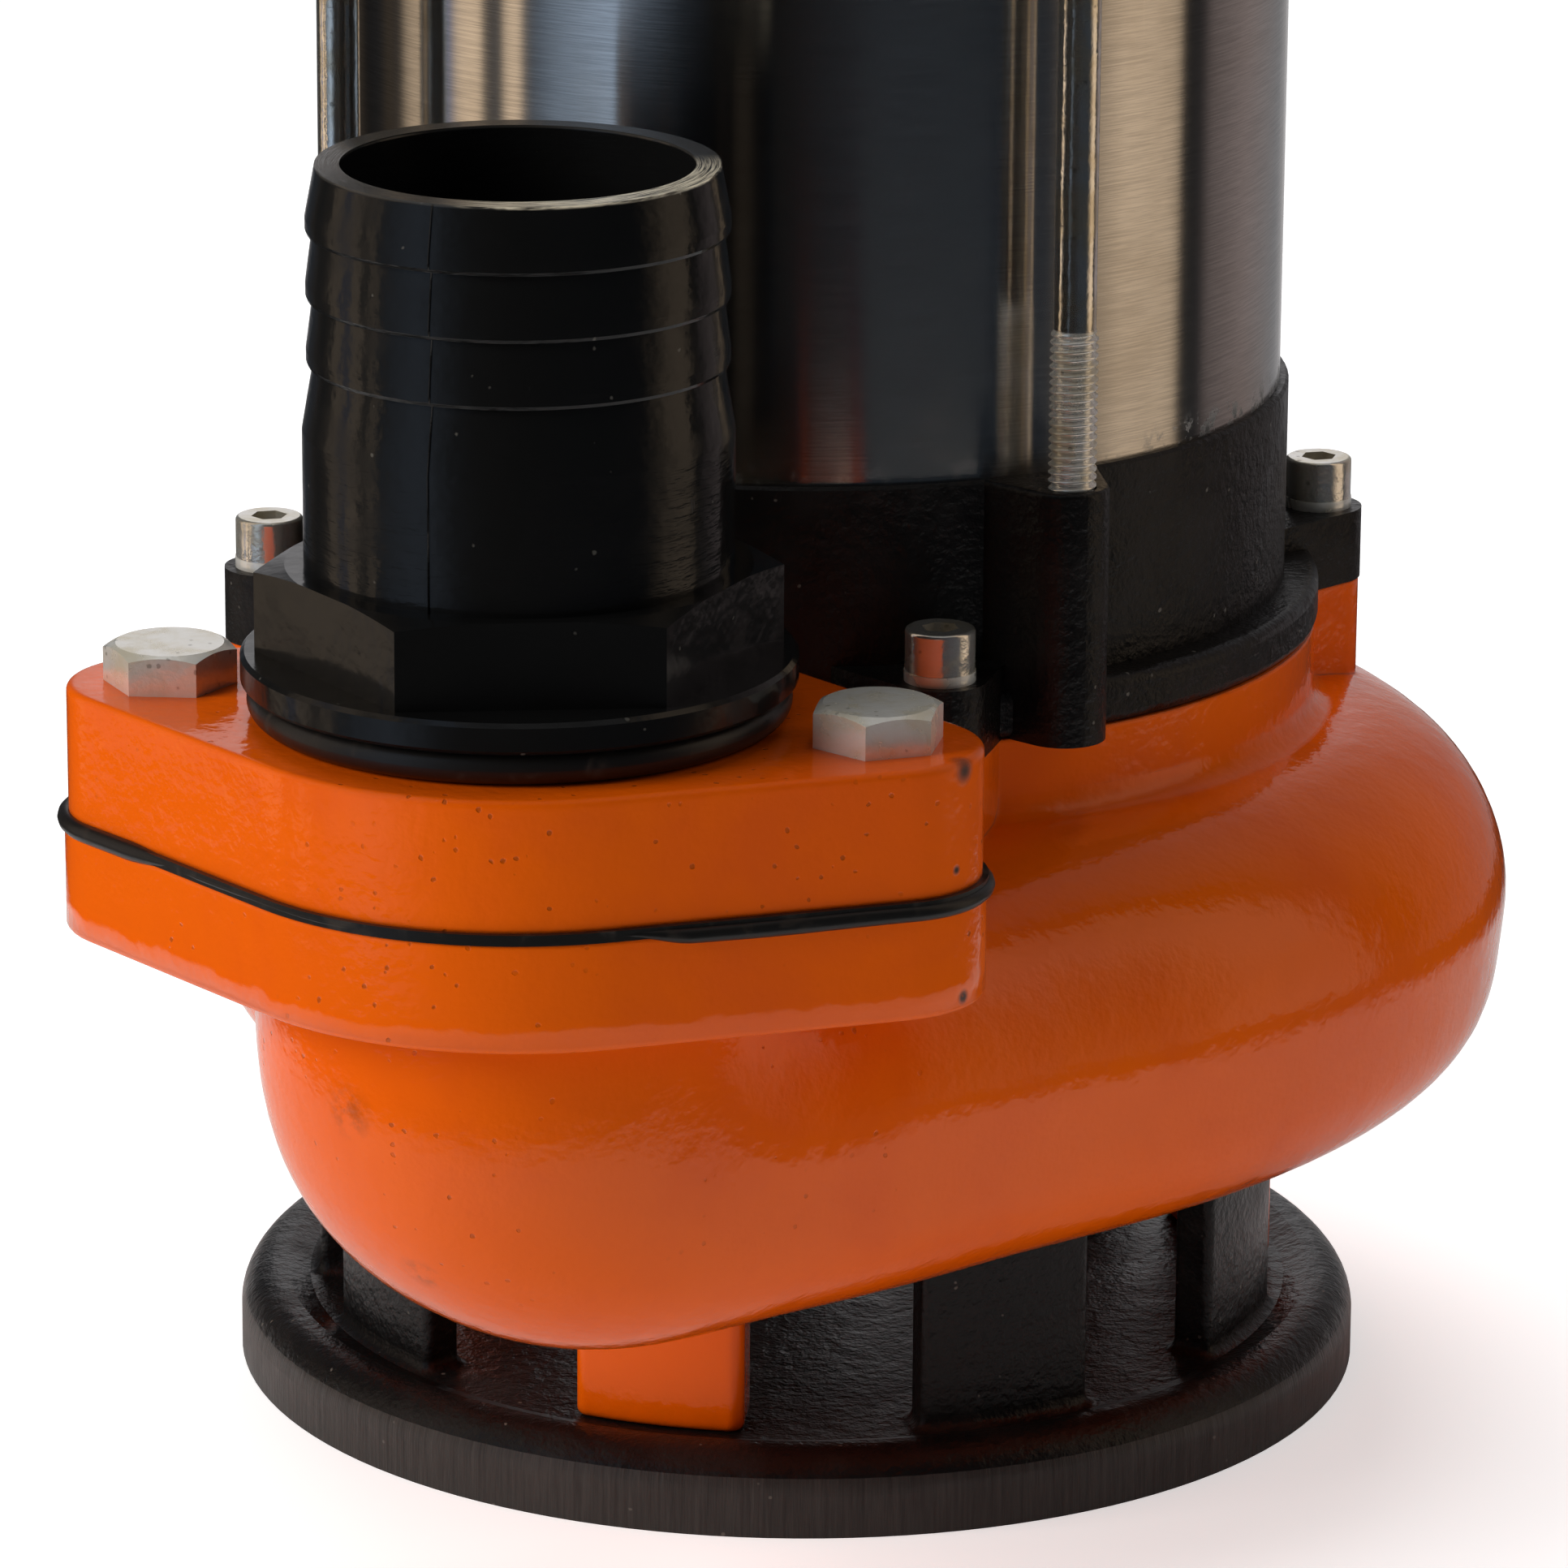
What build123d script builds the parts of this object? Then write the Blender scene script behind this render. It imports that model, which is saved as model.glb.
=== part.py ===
from build123d import *
import os
from math import acos, cos, degrees, pi, radians, sin, sqrt

os.makedirs("parts", exist_ok=True)

# A submersible sewage pump with a vertical motor over a volute casing.
# Origin: centre of the stand's underside, on the shaft axis. +Z is up.
# -Y is the front, where the discharge and its hose fitting stand. Sizes are in millimetres.

# Fits and clearances
running_clearance = 0.05        # radial, a turning journal in a fixed bore
seat_clearance = 0.02           # radial, a ring pressed or pushed on its seat
push_clearance = 0.1            # radial, spigots and pieces that are pushed together
bolt_clearance = 0.3            # radial, a screw shank in its through hole
thread_clearance = 0.05         # radial, a screw shank in its tapped hole
turning_gap = 0.6               # between turning pieces and the casing near them

# Stand
base_radius = 72.7
base_height = 10.5
base_edge_round = 5.0
base_rim_width = 6.0
base_rim_slope = 3.0            # the rim falls to the floor over this width
base_floor_drop = 1.0
base_rest_width = 10.0
base_relief = 3.0
foot_count = 3
first_foot_angle = -106.3
foot_inner_radius = 53.0
foot_outer_radius = 62.4
foot_span = 20.5
foot_corner_round = 1.8
foot_bottom_round = 1.0
post_angles = (-149.0, -64.8, -22.3, 54.5, 97.5, 174.3)
post_span = 21.5
post_thickness = 5.4            # the posts and the feet share one outer face
post_corner_round = 1.2
post_root_round = 1.6
post_gap = 0.3                  # between the guard posts and the casing
base_screw_radius = 3.0
base_screw_head_radius = 5.2
base_screw_head_height = 3.3
base_screw_counterbore = 1.7    # above the relief under the stand
base_screw_socket_width = 4.0
base_screw_socket_depth = 2.0
base_screw_length = 16.0

# Volute casing
foot_height = 26.6              # from the stand's floor to the spiral's underside
volute_outer_radius = 91.2
volute_half_width = 32.8
volute_half_height = 26.6
volute_wall = 5.0
volute_roundness = 2.45         # exponent of the section's outline, 2 is an ellipse
spiral_wrap = 288.0
spiral_full_wrap = 35.0         # the outer radius stays full over this first stretch
spiral_end_radius = 72.0
spiral_end_half_width = 14.0
spiral_end_half_height = 19.5
spiral_section_count = 10
discharge_clearance = 2.7       # between the upper flange and the housing's lip
discharge_angle = -108.0
riser_radius = 30.6
elbow_inner_round = 3.0
elbow_outer_round = 39.0
elbow_section_count = 6
drum_radius = 60.5
drum_step = 0.6                 # the drum stands this much above the spiral's underside
chamber_radius = 49.5
suction_radius = 23.0
suction_neck_radius = 30.0
suction_neck_depth = 5.0
collar_inset = 0.4              # the collar stands this much inside the housing's lip
collar_fillet = 3.2             # where the collar rises from the spiral
collar_foot_start = -48.0       # the fillet runs over this stretch, in degrees of wrap
collar_foot_end = 276.0
collar_foot_sections = 18
collar_wall = 10.6
collar_bore_depth = 9.8
collar_rise = 9.8               # from the spiral's top to the oil chamber housing

# Discharge flanges, gasket and bolts
flange_centre_radius = 36.4
flange_eye_radius = 12.2
flange_bolt_spacing = 86.0
flange_angle = -15.8
casing_flange_drop = 5.3        # the flange starts this much under the spiral's top
casing_flange_thickness = 13.0
gasket_thickness = 1.3
gasket_overhang = 0.7
casing_flange_overhang = 0.5
upper_flange_thickness = 15.4
flange_edge_round = 0.8
flange_bolt_radius = 4.0
flange_bolt_head_width = 13.7
flange_bolt_head_height = 4.8
flange_bolt_length = 26.0
flange_bolt_turns = (-3.2, 19.0)   # how far the left and the right head stopped turning

# Hose fitting
fitting_thread_radius = 23.9
fitting_thread_length = 12.0
fitting_bore_radius = 20.3
fitting_neck_radius = 27.6
fitting_ring_radius = 32.3
fitting_ring_thickness = 3.7
fitting_ring_edge = 0.5
fitting_hex_width = 53.0
fitting_hex_height = 10.2
fitting_hex_chamfer = 1.1
fitting_hex_turn = 4.7
fitting_tube_radius = 24.85
fitting_tube_length = 16.0
fitting_barb_radius = 24.3
fitting_barb_root_radius = 23.5
fitting_barb_pitch = 7.65
fitting_barb_count = 3
fitting_barb_lead = 0.15         # each barb's lower edge is broken by this much
fitting_barb_lead_height = 0.4
fitting_barb_land = 1.6
fitting_rim_radius = 23.15
fitting_shoulder_length = 7.9
oring_section_radius = 1.95

# Oil chamber housing
housing_step = 1.15             # the housing is this much wider than the shell
housing_wall = 6.0
lip_overhang = 4.4
lip_thickness = 6.0
lip_round = 1.4
housing_height = 31.5           # from the casing to the seam where the motor shell stands
housing_spigot_height = 8.0
housing_spigot_drop = 7.0
housing_edge = 0.4
bearing_boss_wall = 6.0
bearing_boss_rise = 3.0         # the seat of the lower bearing ends this much over the bearing
bearing_recess = 0.6
journal_clearance = 2.6         # round the shaft over the oil chamber
rod_boss_edge = 0.6
oil_chamber_radius = 40.0
lug_count = 4
lug_angle = -76.0
lug_offset = 7.3                # screw circle outside the housing's wall
lug_radius = 5.7
lug_root_half_width = 11.5      # the lugs flare out to the wall
casting_inset = 0.2             # the casing's lugs stand this much inside the housing's
lug_height = 9.3
cap_screw_radius = 2.45
cap_screw_head_radius = 4.25
cap_screw_head_height = 5.2
cap_screw_socket_width = 4.0
cap_screw_length = 22.0
cap_screw_socket_depth = 2.6
cap_screw_edge = 0.5
spring_washer_thickness = 1.3
spring_washer_slit = 0.7
spring_washer_slit_tilt = 25.0
spring_washer_slit_turn = 200.0
oil_plug_angle = 75.0
oil_plug_rise = 16.9
oil_plug_radius = 5.0
oil_plug_length = 11.0
oil_plug_head_radius = 7.5
oil_plug_head_height = 4.0
oil_plug_socket_width = 6.0
oil_plug_socket_depth = 2.8
oil_plug_pad_radius = 9.0
oil_plug_pad_height = 2.5
oil_plug_washer_radius = 8.0
oil_plug_washer_thickness = 1.5

# Tie rods
rod_angles = (-61.8, -145.3, 118.2, 34.7)
rod_offset = 8.05               # rod circle outside the shell
rod_shank_radius = 2.6
rod_thread_radius = 2.93
rod_thread_length = 19.6        # thread that shows above the boss
rod_boss_width = 10.4
rod_boss_root_half_width = 8.2  # the bosses flare out to the wall too
rod_boss_wall = 3.9             # from the rod's axis to the boss's outside
rod_engagement = 14.0
rod_top_thread = 18.0

# Motor
shell_radius = 60.45
shell_wall = 1.2
shell_length = 168.0
stator_length = 78.0
stator_rise = 29.4              # from the seam to the stator
stator_bore_radius = 32.5
stator_slots = 24
slot_depth = 13.0
slot_width = 4.6
tooth_tip = 1.6
coil_inset = 0.4
coil_trim = 4.0                 # the coil sides are this much shorter than the slots
coil_shift = 1.5
coil_round = 5.0
coil_end_gap = 0.2
winding_inner_radius = 36.5
winding_gap = 3.75              # between the windings and the shell
winding_height = 18.0
rotor_air_gap = 0.45
cage_ring_height = 6.0
cage_ring_outer_inset = 1.5
cage_ring_inner_inset = 11.0

# Shaft and bearings
shaft_end_radius = 5.9
shaft_impeller_radius = 7.0
shaft_seal_radius = 8.4
shaft_bearing_radius = 8.5
shaft_rotor_radius = 11.5
shaft_top_radius = 7.5
shaft_collar_radius = 9.3
shaft_collar_height = 4.4
shaft_chamfer = 1.0
shaft_shoulder_gap = 0.04
shaft_shoulder_rise = 0.2
shaft_impeller_step = 0.5
lower_bearing_outer_radius = 23.5
lower_bearing_width = 14.0
lower_bearing_drop = 11.1       # the bearing starts this much under the seam
upper_bearing_outer_radius = 17.5
upper_bearing_width = 11.0
ball_play = 0.04
race_thickness_share = 0.24     # of the annulus between bore and outside
ball_radius_share = 0.29
lower_ball_count = 7
upper_ball_count = 7

# Impeller
impeller_radius = 44.0
impeller_drop = 17.1            # the impeller's back stands this much under the joint
shroud_thickness = 4.5
blade_height = 27.0
blade_thickness = 5.0
blade_count = 3
hub_radius = 15.0
hub_height = 20.0
hub_nose_radius = 12.0
hub_nose_height = 4.0
hub_top_radius = 18.0
hub_fillet_radius = 23.0
blade_middle = (31.0, 15.0)     # the blade's spine from the hub to the rim, seen from above
blade_tip = (40.0, 33.0)
shroud_edge_round = 1.5
nut_pocket_radius = 11.2
washer_thickness = 1.5
key_width = 4.0
key_depth = 2.0
key_length = 13.0
nut_width = 18.0
nut_height = 8.0

# Shaft seals
seal_plate_radius = 47.0
seal_plate_thickness = 7.0
seat_radius = 15.0
seat_height = 4.5
seat_cup_wall = 1.6
seat_cup_floor = 1.2
seal_face_gap = 0.15
seal_spring_gap = 0.1
head_radius = 13.5
head_height = 5.0
spring_wire_radius = 0.6
spring_turns = 2.5
oil_seal_radius = 16.0
oil_seal_height = 5.0
oil_seal_shelf = 2.3
retainer_radius = 12.5
retainer_thickness = 1.2

# Top cover, handle, gland, capacitor
bracket_thickness = 8.0
bracket_clearance_above_winding = 6.0
cover_skirt = 7.0
cover_band = 14.0
cover_height = 40.0
cover_taper = 14.6
cover_wall = 5.0
cover_edge_round = 6.0
capacitor_radius = 12.5
capacitor_length = 60.0
capacitor_offset = 31.0
capacitor_lift = 8.0
handle_span = 76.0
handle_height = 46.0
handle_width = 20.0
handle_thickness = 4.0
handle_foot_length = 18.0
handle_screw_radius = 3.0
gland_angle = 90.0
gland_circle_radius = 30.0
gland_bore_radius = 4.75
gland_thread_radius = 9.8
gland_hex_width = 24.0

# Heights that follow from the sizes above
base_floor = base_height - base_floor_drop
base_screw_seat = base_relief + base_screw_counterbore
volute_bottom = base_floor + foot_height
volute_height = volute_bottom + volute_half_height
volute_top = volute_height + volute_half_height
joint_height = volute_top + collar_rise
casing_flange_bottom = volute_top - casing_flange_drop
casing_flange_top = casing_flange_bottom + casing_flange_thickness
gasket_top = casing_flange_top + gasket_thickness
flange_top = gasket_top + upper_flange_thickness
ring_bottom = flange_top + 2 * oring_section_radius + 2 * push_clearance
ring_top = ring_bottom + fitting_ring_thickness
hex_top = ring_top + fitting_hex_height
barb_low = hex_top + fitting_tube_length + fitting_shoulder_length
seam_height = joint_height + housing_height
lug_top = joint_height + lug_height
lower_bearing_height = seam_height - lower_bearing_drop
impeller_top = joint_height - impeller_drop
collar_bore_low = joint_height - collar_bore_depth
shell_top = seam_height + shell_length
stator_bottom = seam_height + stator_rise
stator_top = stator_bottom + stator_length
bracket_bottom = stator_top + winding_height + bracket_clearance_above_winding
upper_bearing_height = bracket_bottom + bracket_thickness - upper_bearing_width / 2
cover_top = shell_top + cover_height
oil_seal_bottom = lower_bearing_height - oil_seal_height - push_clearance
oil_chamber_top = oil_seal_bottom - push_clearance - oil_seal_shelf

# Radii that follow
shell_bore_radius = shell_radius - shell_wall
housing_radius = shell_radius + housing_step
lip_radius = housing_radius + lip_overhang
oil_plug_face = housing_radius + oil_plug_pad_height
collar_radius = lip_radius - collar_inset
collar_bore_radius = collar_radius - collar_wall
lug_circle_radius = housing_radius + lug_offset
rod_circle_radius = shell_radius + rod_offset
rod_boss_reach = rod_circle_radius + rod_boss_wall
winding_outer_radius = shell_bore_radius - winding_gap
cover_radius = housing_radius
cover_top_radius = cover_radius - cover_taper
discharge_radius = lip_radius + discharge_clearance + flange_centre_radius
discharge_x = discharge_radius * cos(radians(discharge_angle))
discharge_y = discharge_radius * sin(radians(discharge_angle))

bottom = (Align.CENTER, Align.CENTER, Align.MIN)
written = []


def disc(radius, low, high):
    """A solid cylinder on the shaft axis between two heights."""
    return Pos(0, 0, low) * Cylinder(radius, high - low, align=bottom)


def ring(outer, inner, low, high):
    """A ring on the shaft axis: a cylinder with a smaller one taken out of it."""
    return disc(outer, low, high) - disc(inner, low - 1, high + 1)


def turned(*points):
    """A solid of revolution about the shaft axis from (radius, height) points."""
    return revolve(Plane.XZ * make_face(Polyline(*points, close=True)), Axis.Z)


def place(radius, angle, height=0.0):
    """A location on a circle round the shaft axis, with its X pointing outwards."""
    return Rot(0, 0, angle) * Pos(radius, 0, height)


def at_discharge(height=0.0, turn=0.0):
    """A location on the discharge axis."""
    return Pos(discharge_x, discharge_y, height) * Rot(0, 0, turn)


def sector(inner, outer, angle, span, low, high):
    """A block bounded by two arcs about the shaft axis and two radial sides."""
    def point(radius, share):
        turn = radians(angle + span * share)
        return (radius * cos(turn), radius * sin(turn))

    outline = [
        ThreePointArc(point(outer, -0.5), point(outer, 0), point(outer, 0.5)),
        Line(point(outer, 0.5), point(inner, 0.5)),
        ThreePointArc(point(inner, 0.5), point(inner, 0), point(inner, -0.5)),
        Line(point(inner, -0.5), point(outer, -0.5)),
    ]
    return Pos(0, 0, low) * extrude(make_face(outline), high - low)


def hexagon(width, low, high):
    """A hexagonal prism of a width across flats, standing on the axis."""
    return Pos(0, 0, low) * extrude(RegularPolygon(width / 2, 6, major_radius=False), high - low)


def chamfered_hexagon(width, low, high, top_chamfer=0.93):
    """A hexagonal prism whose top corners are cut by a cone, as on a bolt head."""
    corner = width / 2 / cos(pi / 6)
    flat = width / 2 * top_chamfer
    drop = (corner - flat) * 0.5
    cone = turned((0, low - 1), (corner + 1, low - 1), (corner + 1, high - drop - 0.5),
                  (flat, high), (0, high))
    return hexagon(width, low, high) & cone


def save(name, *solids):
    """Write one node: a single solid, or a group of separate solids."""
    shape = solids[0] if len(solids) == 1 else Compound(children=list(solids))
    export_step(shape, f"parts/{name}.step")
    written.append(name)


# Volute casing

tangent_radius = volute_outer_radius - volute_half_width
tangent_angle = discharge_angle + degrees(acos(tangent_radius / discharge_radius))
straight_length = sqrt(discharge_radius ** 2 - tangent_radius ** 2)


def section(origin, across, along, half_width, half_height, roundness):
    """One closed section of the passage: |x/a|^n + |y/b|^n = 1 through sixteen points."""
    count = 16
    points = []
    for i in range(count):
        turn = 2 * pi * i / count
        c, s = cos(turn), sin(turn)
        x = half_width * (1 if c >= 0 else -1) * abs(c) ** (2 / roundness)
        y = half_height * (1 if s >= 0 else -1) * abs(s) ** (2 / roundness)
        points.append((x, y))
    plane = Plane(origin=origin, x_dir=across, z_dir=along)
    return plane * make_face(Spline(*points, periodic=True))


def spiral_size(wrap):
    """The spiral's outer radius, half width and half height after a turn of wrap degrees."""
    share = wrap / spiral_wrap
    shrink = max(0.0, wrap - spiral_full_wrap) / (spiral_wrap - spiral_full_wrap)
    outer = volute_outer_radius + (spiral_end_radius - volute_outer_radius) * shrink
    half_width = volute_half_width + (spiral_end_half_width - volute_half_width) * share
    half_height = volute_half_height + (spiral_end_half_height - volute_half_height) * share
    return outer, half_width, half_height


def spiral_top(radius, wrap):
    """Height of the passage's top over a point; before the tangent point the run is straight."""
    outer, half_width, half_height = spiral_size(max(wrap, 0.0))
    reach = radius * cos(radians(min(wrap, 0.0)))
    off = min(abs(reach - outer + half_width) / half_width, 1.0)
    return volute_height + half_height * (1 - off ** volute_roundness) ** (1 / volute_roundness)


def elbow_reach(turn, depth, length, corner):
    """Distance from the elbow's pivot to its outer wall: two straight walls and a round corner."""
    dx, dy = sin(turn), cos(turn)
    if dy > 0 and depth * dx / dy <= length - corner:
        return depth / dy
    if dx > 0 and length * dy / dx <= depth - corner:
        return length / dx
    cx, cy = length - corner, depth - corner
    along = dx * cx + dy * cy
    return along + sqrt(along ** 2 - (cx ** 2 + cy ** 2 - corner ** 2))


def passage(inset):
    """The spiral, its straight run and the elbow up to the flange, as one loft.

    With inset 0 this is the casting's outside, with inset equal to the wall its inside."""
    sections = []
    # The spiral runs clockwise seen from above and grows towards the tangent point.
    for i in range(spiral_section_count):
        wrap = spiral_wrap * (1 - i / (spiral_section_count - 1))
        outer, half_width, half_height = spiral_size(wrap)
        turn = radians(tangent_angle + wrap)
        across = (cos(turn), sin(turn), 0)
        along = (sin(turn), -cos(turn), 0)
        centre = outer - half_width
        sections.append(section((centre * cos(turn), centre * sin(turn), volute_height),
                                across, along, half_width - inset, half_height - inset,
                                volute_roundness))
    # The straight run and the elbow lie in the vertical plane of the tangent.
    turn = radians(tangent_angle)
    across = Vector(cos(turn), sin(turn), 0)
    forward = Vector(sin(turn), -cos(turn), 0)
    start = across * tangent_radius + Vector(0, 0, volute_height)
    pivot_run = straight_length - riser_radius - elbow_inner_round
    sections.append(section(start + forward * (pivot_run * 0.5), across, forward,
                            volute_half_width - inset, volute_half_height - inset,
                            volute_roundness))
    pivot = start + forward * pivot_run
    pivot += Vector(0, 0, volute_half_height + elbow_inner_round)
    depth = 2 * volute_half_height + elbow_inner_round - inset
    length = 2 * riser_radius + elbow_inner_round - inset
    near = elbow_inner_round + inset
    for i in range(elbow_section_count + 1):
        share = i / elbow_section_count
        bend = share * pi / 2
        far = elbow_reach(bend, depth, length, elbow_outer_round - inset)
        outward = forward * sin(bend) - Vector(0, 0, cos(bend))
        along = forward * cos(bend) + Vector(0, 0, sin(bend))
        half_width = volute_half_width + (riser_radius - volute_half_width) * share - inset
        roundness = volute_roundness + (2 - volute_roundness) * share
        sections.append(section(pivot + outward * ((near + far) / 2), across, along,
                                half_width, (far - near) / 2, roundness))
    # The riser goes on straight up, inside to just past the flange's face.
    end = casing_flange_top + (1.0 if inset > 0 else -2.0)
    riser = riser_radius - inset
    sections.append(section((discharge_x, discharge_y, end), across, (0, 0, 1), riser, riser, 2))
    return loft(sections)


def flange_plate(low, high, grow=0.0):
    """The two-bolt flange: a round centre and two eyes joined by their common tangents."""
    reach = flange_bolt_spacing / 2
    centre = Circle(flange_centre_radius + grow)
    eyes = [Pos(side * reach, 0) * Circle(flange_eye_radius + grow) for side in (-1, 1)]
    outline = make_hull((centre + eyes[0] + eyes[1]).edges())
    return at_discharge(low, flange_angle) * extrude(outline, high - low)


def flange_hole(side, radius, low, high):
    """A bolt hole, or a bolt shank, in one eye of the discharge flanges."""
    hole = Cylinder(radius, high - low, align=bottom)
    return at_discharge(low, flange_angle) * Pos(side * flange_bolt_spacing / 2, 0, 0) * hole


def lug_angles():
    return [lug_angle + i * 360 / lug_count for i in range(lug_count)]


def foot_angles():
    return [first_foot_angle + i * 360 / foot_count for i in range(foot_count)]


def flared(reach, width, root_half_width, low, high):
    """A lug or boss: a round end out to a reach, flared back to the wall behind it."""
    end = Pos(reach - width / 2, 0) * Circle(width / 2)
    root = Pos(shell_bore_radius, 0) * Rectangle(2.0, 2 * root_half_width)
    return Pos(0, 0, low) * extrude(make_hull((end + root).edges()), high - low)


def lug(angle, low, high, inset=0.0):
    """One screw lug, out from the wall at an angle."""
    radius = lug_radius - inset
    return place(0, angle) * flared(lug_circle_radius + radius, 2 * radius,
                                    lug_root_half_width - inset, low, high)


def screw_hole(circle, angle, radius, low, high):
    return place(circle, angle, low) * Cylinder(radius, high - low, align=bottom)


def collar_foot():
    """The hollow fillet where the collar rises from the spiral's top, as one loft."""
    inner, outer = collar_radius - collar_fillet, collar_radius + collar_fillet
    middle = collar_fillet * (1 - cos(pi / 4))
    sections = []
    for i in range(collar_foot_sections):
        share = i / (collar_foot_sections - 1)
        wrap = collar_foot_start + (collar_foot_end - collar_foot_start) * share
        toe = spiral_top(outer, wrap) - 0.05
        low, crown = toe - collar_fillet, toe + collar_fillet
        outline = [Line((inner, low), (outer, low)),
                   Line((outer, low), (outer, toe)),
                   ThreePointArc((outer, toe), (collar_radius + middle, toe + middle),
                                 (collar_radius, crown)),
                   Line((collar_radius, crown), (inner, crown)),
                   Line((inner, crown), (inner, low))]
        turn = radians(tangent_angle + wrap)
        plane = Plane(origin=(0, 0, 0), x_dir=(cos(turn), sin(turn), 0),
                      z_dir=(sin(turn), -cos(turn), 0))
        sections.append(plane * make_face(outline))
    return loft(sections)


def make_casing():
    core = turned((0, volute_bottom + drum_step), (drum_radius, volute_bottom + drum_step),
                  (drum_radius, volute_height - collar_radius + drum_radius),
                  (collar_radius, volute_height),
                  (collar_radius, joint_height), (0, joint_height))
    core += disc(suction_neck_radius, volute_bottom - suction_neck_depth, volute_bottom + volute_wall)
    flange = flange_plate(casing_flange_bottom, casing_flange_top, casing_flange_overhang)
    flange = fillet(flange.edges().group_by(Axis.Z)[0], flange_edge_round)
    body = passage(0) + core
    body += collar_foot()
    body += flange
    for angle in lug_angles():
        body += lug(angle, volute_height, joint_height, casting_inset)
    for angle in foot_angles():
        foot = sector(foot_inner_radius, foot_outer_radius, angle, foot_span,
                      base_floor, volute_bottom + volute_wall - 1)
        foot = fillet(foot.edges().filter_by(Axis.Z), foot_corner_round)
        body += fillet(foot.edges().group_by(Axis.Z)[0], foot_bottom_round)
    body -= passage(volute_wall)
    body -= disc(chamber_radius, volute_bottom + volute_wall, collar_bore_low + 1)
    body -= disc(collar_bore_radius, collar_bore_low, joint_height + 1)
    body -= disc(suction_radius, 0, volute_height)
    for side in (-1, 1):
        body -= flange_hole(side, flange_bolt_radius + thread_clearance,
                            casing_flange_bottom - 1, casing_flange_top + 1)
    for angle in lug_angles():
        body -= screw_hole(lug_circle_radius, angle, cap_screw_radius + thread_clearance,
                           joint_height - cap_screw_length, joint_height + 1)
    for angle in foot_angles():
        body -= screw_hole((foot_inner_radius + foot_outer_radius) / 2, angle,
                           base_screw_radius + thread_clearance,
                           base_floor - 1, base_floor + base_screw_length)
    return body


save("volute_casing", make_casing())


# Discharge flange, gasket, bolts

def make_upper_flange():
    body = flange_plate(gasket_top, flange_top)
    body = fillet(body.edges().group_by(Axis.Z)[-1], flange_edge_round)
    reach = flange_top - gasket_top + 2
    body -= at_discharge(gasket_top - 1) * Cylinder(
        fitting_thread_radius + push_clearance, reach, align=bottom)
    for side in (-1, 1):
        body -= flange_hole(side, flange_bolt_radius + bolt_clearance, gasket_top - 1, flange_top + 1)
    return body


def make_gasket():
    body = flange_plate(casing_flange_top, gasket_top, gasket_overhang)
    body -= at_discharge(casing_flange_top - 1) * Cylinder(
        riser_radius - volute_wall, gasket_thickness + 2, align=bottom)
    for side in (-1, 1):
        body -= flange_hole(side, flange_bolt_radius + bolt_clearance,
                            casing_flange_top - 1, gasket_top + 1)
    return body


def make_flange_bolts():
    bolts = []
    for side, turn in zip((-1, 1), flange_bolt_turns):
        head = chamfered_hexagon(flange_bolt_head_width, 0, flange_bolt_head_height)
        shank = Pos(0, 0, -flange_bolt_length) * Cylinder(
            flange_bolt_radius, flange_bolt_length + 0.1, align=bottom)
        seat = at_discharge(flange_top, flange_angle) * Pos(side * flange_bolt_spacing / 2, 0, 0)
        bolts.append(seat * Rot(0, 0, turn - flange_angle) * (head + shank))
    return bolts


save("discharge_flange", make_upper_flange())
save("discharge_gasket", make_gasket())
save("flange_bolts", *make_flange_bolts())


# Hose fitting

def make_fitting():
    outline = [(fitting_bore_radius, flange_top - fitting_thread_length),
               (fitting_thread_radius, flange_top - fitting_thread_length),
               (fitting_thread_radius, flange_top),
               (fitting_neck_radius, flange_top),
               (fitting_neck_radius, ring_bottom),
               (fitting_ring_radius - fitting_ring_edge, ring_bottom),
               (fitting_ring_radius, ring_bottom + fitting_ring_edge),
               (fitting_ring_radius, ring_top - fitting_ring_edge),
               (fitting_ring_radius - fitting_ring_edge, ring_top),
               (fitting_tube_radius, ring_top),
               (fitting_tube_radius, hex_top + fitting_tube_length),
               (fitting_barb_root_radius, barb_low)]
    for i in range(fitting_barb_count):
        low = barb_low + i * fitting_barb_pitch
        top_radius = fitting_rim_radius if i == fitting_barb_count - 1 else fitting_barb_root_radius
        outline += [(fitting_barb_radius - fitting_barb_lead, low),
                    (fitting_barb_radius, low + fitting_barb_lead_height),
                    (fitting_barb_radius, low + fitting_barb_land),
                    (top_radius, low + fitting_barb_pitch)]
    outline.append((fitting_bore_radius, barb_low + fitting_barb_count * fitting_barb_pitch))
    body = turned(*outline)
    corner = fitting_hex_width / 2 / cos(pi / 6)
    chamfer_cone = turned((0, ring_top), (corner + 1, ring_top), (corner + 1, hex_top - fitting_hex_chamfer),
                          (fitting_hex_width / 2 + fitting_hex_chamfer / 2, hex_top), (0, hex_top))
    nut = Rot(0, 0, fitting_hex_turn) * Pos(0, 0, ring_top) * extrude(
        RegularPolygon(corner, 6), fitting_hex_height)
    nut = nut & chamfer_cone
    nut -= disc(fitting_bore_radius, ring_top - 1, hex_top + 1)
    return at_discharge() * (body + nut)


def make_fitting_oring():
    circle = Pos(fitting_neck_radius + oring_section_radius + push_clearance,
                 flange_top + oring_section_radius + push_clearance) * Circle(oring_section_radius)
    return at_discharge() * revolve(Plane.XZ * circle, Axis.Z)


save("hose_fitting", make_fitting())
save("fitting_oring", make_fitting_oring())


# Stand

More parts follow.
